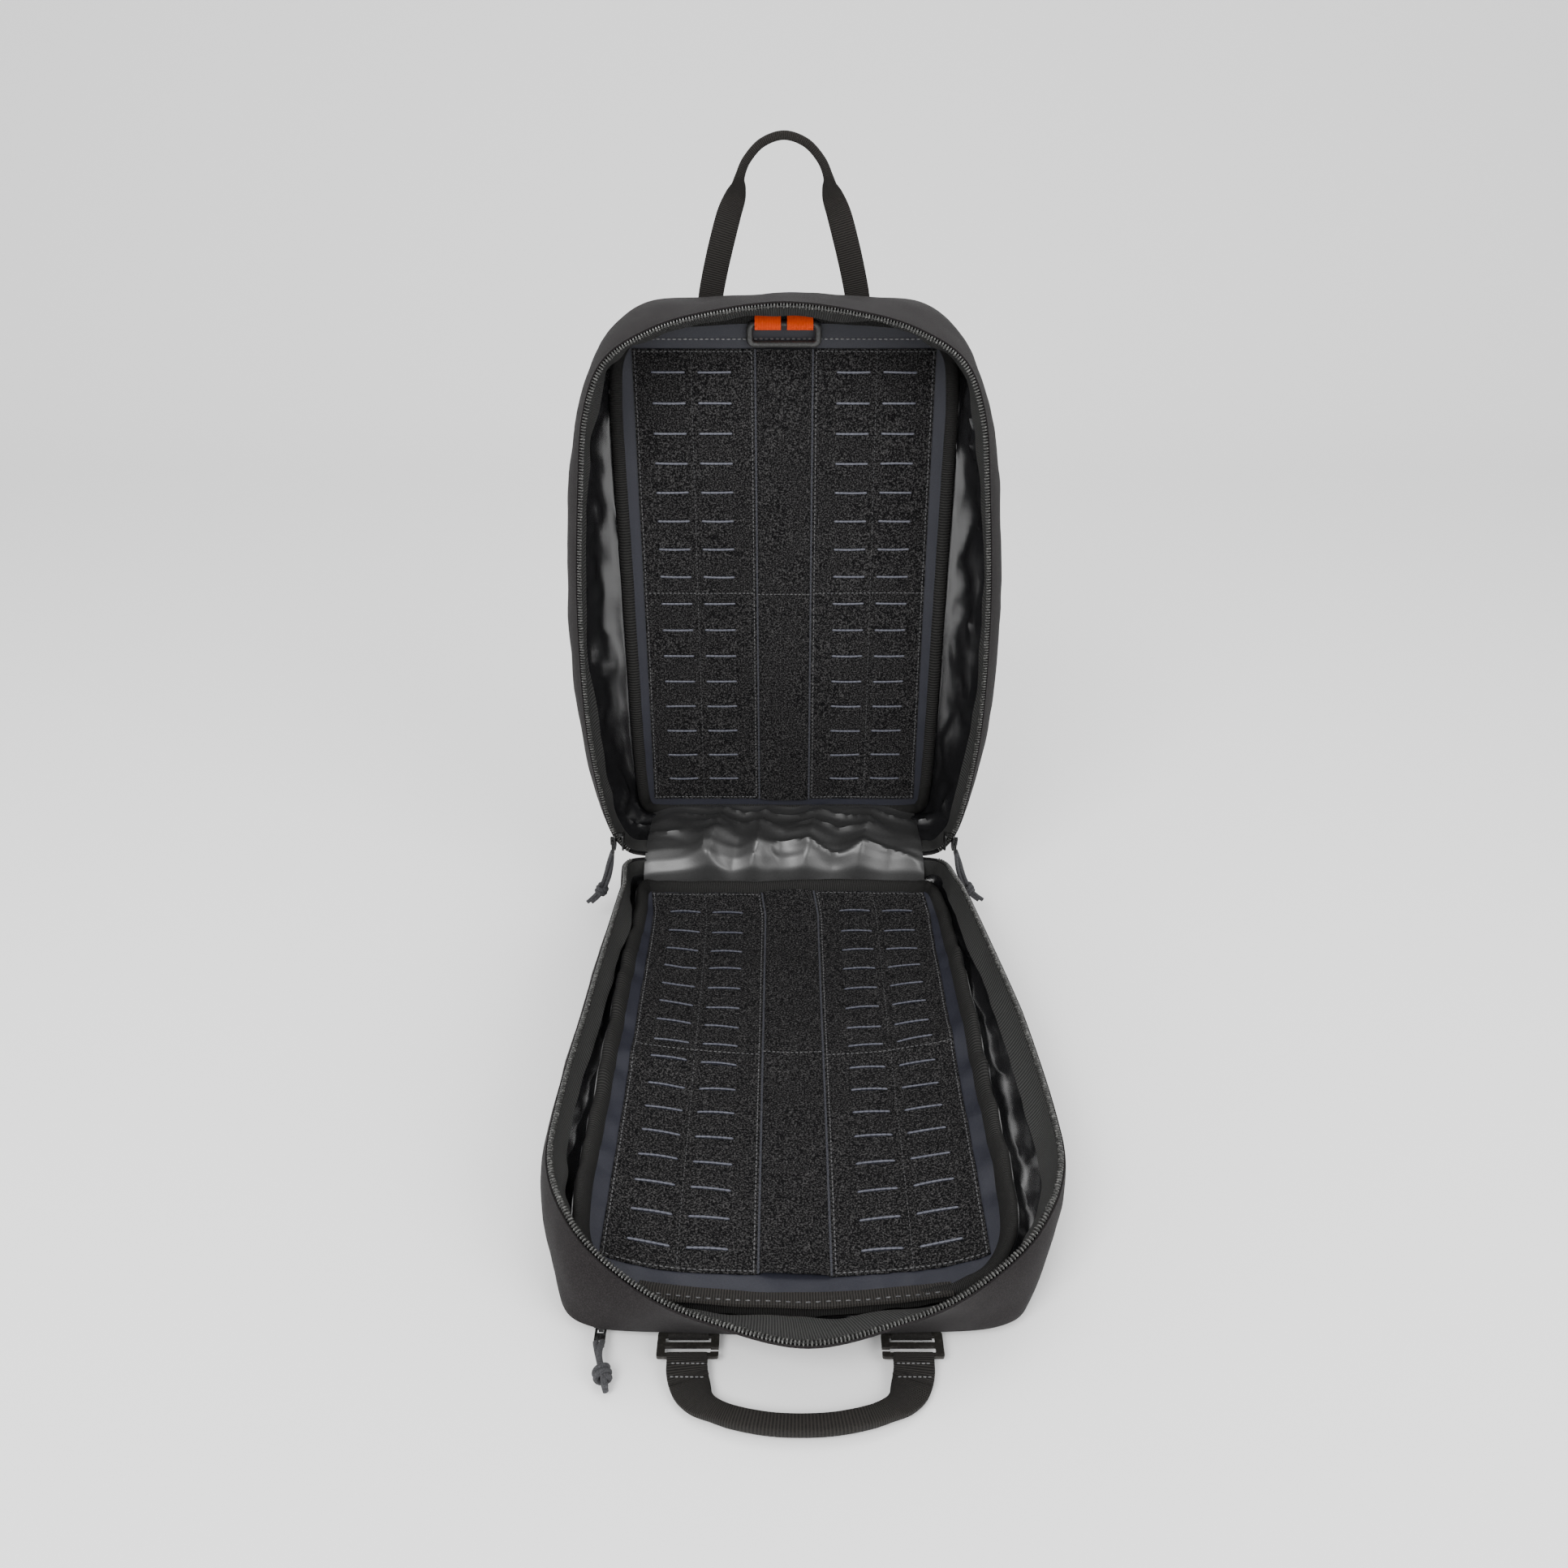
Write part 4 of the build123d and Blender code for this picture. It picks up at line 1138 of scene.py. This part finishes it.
TOP_Y = 0.324
top_rows = mirrored([
    (-0.0600, TOP_Y, 0.5350, 0.0100, 0.0011), (-0.0590, TOP_Y, 0.5460, 0.0100, 0.0011),
    (-0.0548, TOP_Y, 0.5650, 0.0100, 0.0011), (-0.0495, TOP_Y, 0.5850, 0.0100, 0.0011),
    (-0.0435, TOP_Y, 0.6050, 0.0097, 0.0013), (-0.0382, TOP_Y, 0.6180, 0.0084, 0.0018),
    (-0.0358, TOP_Y, 0.6250, 0.0062, 0.0036), (-0.0345, TOP_Y, 0.6320, 0.0040, 0.0058),
    (-0.0290, TOP_Y, 0.6440, 0.0035, 0.0064), (-0.0170, TOP_Y, 0.6560, 0.0034, 0.0065),
    (0.0, TOP_Y, 0.6612, 0.0034, 0.0065)])
webbing_body("top_handle_webbing", top_rows, (0, 1, 0), "top_handle", ["top_handle"])

FRONT_Z = 0.0016
HANDLE_X = 0.010
front_rows = [(row[0] + HANDLE_X, *row[1:]) for row in mirrored([
    (-0.0690, -0.2500, FRONT_Z, 0.0125, 0.0012), (-0.0688, -0.2580, FRONT_Z, 0.0125, 0.0012),
    (-0.0670, -0.2660, FRONT_Z, 0.0124, 0.0012), (-0.0640, -0.2740, 0.0017, 0.0116, 0.0014),
    (-0.0590, -0.2812, 0.0022, 0.0092, 0.0019), (-0.0510, -0.2868, 0.0034, 0.0068, 0.0031),
    (-0.0390, -0.2918, 0.0038, 0.0063, 0.0035), (-0.0200, -0.2958, 0.0038, 0.0063, 0.0035),
    (0.0, -0.2970, 0.0038, 0.0063, 0.0035)])]
webbing_body("front_handle_webbing", front_rows, (0, 0, 1), "front_handle", ["front_handle"])

for side, label in SIDES:
    webbing_body(f"front_handle_return_{label}",
                 [(HANDLE_X + side * x, *rest) for x, *rest in (
                     (0.0690, -0.2478, 0.0042, 0.0124, 0.0010),
                     (0.0689, -0.2540, 0.0040, 0.0124, 0.0010),
                     (0.0680, -0.2620, 0.0034, 0.0124, 0.0010),
                     (0.0667, -0.2660, 0.0030, 0.0123, 0.0008))],
                 (0, 0, 1), "front_handle", steps=5)
    for row, y in enumerate((-0.2560, -0.2655)):
        centre = HANDLE_X + side * 0.0682
        line = [(centre - 0.0105, y, 0.0052), (centre + 0.0105, y, 0.0050)]
        stitches(f"front_handle_stitches_{label}_{row}", [line], Vector((0, 0, 1)),
                 "front_handle", 0.0030, 0.0020, 0.0007)

# %% [markdown]
# ## Zip pulls
#
# A pull is a steel tab with two strands of cord tied through its eye. The strands follow the
# routes of the construction model. The knot is the same cord wound twice round both strands.

# %% Pull cords
CORD_D, STRAND_GAP = 0.0038, 2.0
CORD_TURN = (0, 50, 90, 90, 90, 90)
PIN = (0.15716, 0.240, 0.084)
LEFT_ROUTE = [(0.8, 0, -11), (3, 1, -21), (5.5, 2.5, -33), (9.5, 4.5, -44), (15, 6, -54),
              (24, 8, -61)]
RIGHT_ROUTE = [(0.8, 0, -11), (3.4, -1, -21), (6, -2, -32), (10.5, -4, -43),
               (16.5, -5.5, -53), (26, -7, -59)]
POCKET_ROUTE = [(0.8, 0, -11), (1.8, 0.4, -16), (1.9, 1.5, -23), (1.4, 3.5, -30),
                (0.6, 6, -38), (0.2, 8, -44)]
POCKET_PIN = Vector((-0.114, -0.2285, 0.003))


def side_frame(side):
    def place(x, y, z):
        return Vector((side * (PIN[0] + x * MM), PIN[1] + side * y * MM, PIN[2] + z * MM))
    return place


def pocket_frame(x, y, z):
    return POCKET_PIN + Vector((y, z, x)) * MM


def make_strand(name, points, body):
    bpy.ops.curve.primitive_nurbs_path_add()
    strand = bpy.context.object
    strand.name = name
    strand.data.splines.clear()
    spline = strand.data.splines.new("NURBS")
    spline.points.add(len(points) - 1)
    for point, place in zip(spline.points, points):
        point.co = (*place, 1)
    spline.order_u = 3
    spline.use_endpoint_u = True
    spline.resolution_u = 8
    strand.data.bevel_depth = CORD_D / 2
    strand.data.bevel_resolution = 4
    strand.data.use_fill_caps = True
    strand.data.materials.append(CORD)
    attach(strand, body)
    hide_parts(name.replace("strand", "cord"))
    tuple(points[0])


def tube_points(line, radius):
    """Stations for a round tube along a line of points."""
    stations, side = [], Vector((0.3, 0.2, 1))
    for k, centre in enumerate(line):
        run = (line[min(k + 1, len(line) - 1)] - line[max(k - 1, 0)]).normalized()
        side = (side - run * side.dot(run)).normalized()
        stations.append((centre, side * radius, run.cross(side) * radius))
    return stations


def make_wound_knot(name, centre, axis, body, nodes):
    """Two turns of cord that close up into a fist."""
    axis = axis.normalized()
    a = axis.orthogonal().normalized()
    b = axis.cross(a)
    line = []
    for k in range(61):
        t = k / 60
        angle = math.tau * 2.6 * t
        reach = 0.0036 + 0.0007 * math.sin(math.pi * t)
        line.append(centre + axis * (t - 0.5) * 0.0090
                    + (a * math.cos(angle) + b * math.sin(angle)) * reach)
    return swept(name, tube_points(line, CORD_D / 2), CORD, body, 10, 1.0,
                 (0.01, 0.06), nodes)


def make_pull(prefix, place, route, body):
    points = [place(*row) for row in route]
    near, far = points[-3], points[-2]
    knot = make_wound_knot(f"{prefix}_tied_knot", (near + far) / 2, far - near, body,
                           [f"{prefix}_knot"])
    for strand, offset in (("a", -STRAND_GAP), ("b", STRAND_GAP)):
        line = [place(x + offset * math.sin(math.radians(turn)),
                      y + offset * math.cos(math.radians(turn)), z)
                for (x, y, z), turn in zip(route, CORD_TURN)]
        make_strand(f"{prefix}_strand_{strand}", line, body)


make_pull("zip_pull_left", side_frame(-1), LEFT_ROUTE, "pull_left")
make_pull("zip_pull_right", side_frame(1), RIGHT_ROUTE, "pull_right")
make_pull("pocket_pull", pocket_frame, POCKET_ROUTE, "pocket_pull")

# %% [markdown]
# ## Outer pocket
#
# A flat zipped pocket covers the outer face that lies on the ground. It is a low pillow of
# the same twill, drawn in at its seam.

# %% Outer pocket
POCKET_LOW, POCKET_HIGH, POCKET_INSET = 0.014, 0.462, 0.008
POCKET_DEPTH = HINGE_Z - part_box("front_pocket")[0].z
BASE_OUT = outward(front.base)


def pocket_point(i, w):
    k = i % front.count
    edge = front.base[k] - BASE_OUT[k] * POCKET_INSET
    edge[1] = min(max(edge[1], POCKET_LOW), POCKET_HIGH)
    reach = max(w - 1, 0)
    flat = edge * (1 - reach) + FACE_MIDDLE * reach
    rise = min(w, 1.0)
    flat = flat - BASE_OUT[k] * 0.002 * rise ** 3
    d = (POCKET_DEPTH - front.depth - 0.0006) * math.sin(rise * math.pi / 2) ** 0.7
    return front.place(flat[0], flat[1], front.depth + d)


looped(front, "outer_pocket", [0, 0.25, 0.5, 0.75, 1, 1.04, 1.15, 1.35, 1.7, 2],
       pocket_point, SHELL, 0.0010, ["front_pocket"])

# %% [markdown]
# ## Harness
#
# The back carries two long foam pads in spacer mesh, a webbing yoke, and two shoulder pads that
# hang from it. Each pad is swept from bottom to top with rounded ends and is pinched where it
# is quilted. A length of webbing is sewn down the middle of each shoulder pad.

# %% Padded pieces
BACK_QUILT, YOKE_QUILT, STRAP_QUILT = 0.0582, 0.0416, 0.0562
BACK_GAP, WEB_HALF, BAR_HALF, PAD_ROWS = 0.014, 0.0125, 0.0105, 90


def quilted(t, pitch, depth):
    """1 in the middle of a channel and 1 - depth on its seams."""
    return 1 - depth * abs(math.cos(math.pi * t / pitch)) ** 14


def make_pad(name, start, direction, side, up, length, half_width, half_height, pitch, body,
             node, waist=0.0, material=MESH_CLOTH):
    """A quilted pad from start along direction, with more stations near its ends."""
    start, direction, side, up = Vector(start), Vector(direction), Vector(side), Vector(up)
    stations = []
    for k in range(PAD_ROWS):
        t = length * (0.5 - 0.5 * math.cos(math.pi * k / (PAD_ROWS - 1)))
        share = t / length
        round_off = (1 - abs(2 * share - 1) ** 12) ** 0.5
        puff = quilted(t, pitch, 0.45) * (1 - abs(2 * share - 1) ** 22) ** 0.5
        narrow = 1 - waist * math.sin(math.pi * share) ** 2
        width = half_width * (0.35 + 0.65 * round_off) * narrow
        stations.append((start + direction * t, side * width,
                         up * max(half_height * puff, 0.0008)))
    pad = swept(name, stations, material, body, 32, 0.55, (2 * half_width, length),
                [node])


back_low, back_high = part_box("back_pads")
pad_half = (back_high.x - BACK_GAP) / 2
for side, label in SIDES:
    make_pad(f"back_pad_{label}",
             (side * (BACK_GAP + pad_half), (back_low.y + back_high.y) / 2, back_low.z),
             (0, 0, 1), (1, 0, 0), (0, 1, 0), back_high.z - back_low.z, pad_half,
             (back_high.y - back_low.y) / 2, BACK_QUILT, "rear_half", "back_pads")

low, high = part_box("strap_yoke")
middle = (low + high) / 2
make_pad("yoke_pad", (low.x, middle.y, middle.z), (1, 0, 0), (0, 0, 1), (0, -1, 0),
         high.x - low.x, (high.z - low.z) / 2, (high.y - low.y) / 2, YOKE_QUILT, "rear_half",
         "strap_yoke", material=SHELL)

for side, label in SIDES:
    body = f"strap_{label}"
    low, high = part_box(f"shoulder_pad_{label}")
    middle, half_size = (low + high) / 2, (high - low) / 2
    make_pad(f"strap_pad_{label}", (middle.x, middle.y, low.z + 0.0005), (0, 0, 1), (1, 0, 0),
             (0, 1, 0), high.z - low.z - 0.001, half_size.x - 0.0005, half_size.y - 0.0012,
             STRAP_QUILT, body, f"shoulder_pad_{label}", waist=0.10)
    # the binding round the pad and the webbing sewn down its middle
    edge = []
    for k in range(97):
        angle = math.tau * k / 96
        c, s = rounded(angle, 0.22)
        pinch = 1 - 0.09 * (1 - abs(math.sin(angle)) ** 3)
        edge.append(Vector((middle.x + (half_size.x - 0.0022) * c * pinch, middle.y,
                            middle.z + (half_size.z - 0.0030) * s)))
    swept(f"strap_pad_binding_{label}", tube_points(edge, 0.0021), BINDING_CLOTH,
          body, 10, 1.0, (0.01, 0.7))

    def on_strap(x, z):
        seam = 0.0012 * (1 - quilted(z - low.z, STRAP_QUILT, 1.0))
        return middle.x + x, high.y - 0.0010 - seam, z

    cloth_grid(f"strap_webbing_{label}", spread(-WEB_HALF, WEB_HALF, 5),
               spread(low.z + 0.001, high.z - 0.010, 120), on_strap, WEBBING,
               body, 0.0016, size=(2 * WEB_HALF, high.z - low.z))
    bars = [[(middle.x + end * BAR_HALF, high.y + 0.0002, low.z + STRAP_QUILT * (k - 0.5))
             for end in (-1, 1)] for k in range(1, 6)]
    stitches(f"strap_webbing_bars_{label}", bars, Vector((0, 1, 0)), body, 0.0026, 0.0019, 0.0012)

# %% [markdown]
# The lower webbing runs from each strap's ladder lock down to the pack's corner.

# %% Lower webbing and sternum straps
STERNUM_HALF = 0.010
for side, label in SIDES:
    low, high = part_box(f"lower_webbing_{label}")
    top = Vector((side * 0.066, (low.y + high.y) / 2, high.z))
    foot = Vector((side * 0.1375, (low.y + high.y) / 2, low.z))
    across = Vector((WEB_HALF, 0, 0))
    loose = cloth_grid(f"lower_strap_{label}", spread(-1, 1, 7), spread(0, 1, 60),
                       lambda u, v: top.lerp(foot, v) + across * u
                       + Vector((0, 0.0008 * math.sin(math.pi * v), 0)),
                       WEBBING, None, 0.0014, [f"lower_webbing_{label}"],
                       size=(2 * WEB_HALF, (foot - top).length))
    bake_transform(loose)

    low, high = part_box(f"sternum_strap_{label}")
    inner, outer = sorted((low.x, high.x), key=abs)
    z, reach = (low.z + high.z) / 2, 0.025
    buckle_end = inner + side * reach
    nodes = [f"sternum_strap_{label}"]
    cloth_grid(f"sternum_band_{label}", spread(buckle_end, outer, 50),
               spread(-STERNUM_HALF, STERNUM_HALF, 5), lambda x, v: (x, low.y + 0.0010, z + v),
               WEBBING_ACROSS, f"sternum_{label}", 0.0014, nodes,
               size=(abs(outer - buckle_end), 2 * STERNUM_HALF))
    bpy.ops.mesh.primitive_cube_add(size=1)
    buckle = bpy.context.object
    buckle.name = f"sternum_buckle_{label}"
    size = Vector((reach, high.y - low.y, high.z - low.z))
    centre = Vector(((inner + buckle_end) / 2, (low.y + high.y) / 2, z))
    for vertex in buckle.data.vertices:
        co = vertex.co
        taper = 1 - 0.22 * (co.x * side < 0)
        vertex.co = centre + Vector((co.x * size.x, co.y * size.y * taper, co.z * size.z * taper))
    apply_modifier(buckle, "BEVEL", width=0.0022, segments=3, limit_method="ANGLE")
    finish_piece(buckle, PLASTIC, f"sternum_{label}", nodes)
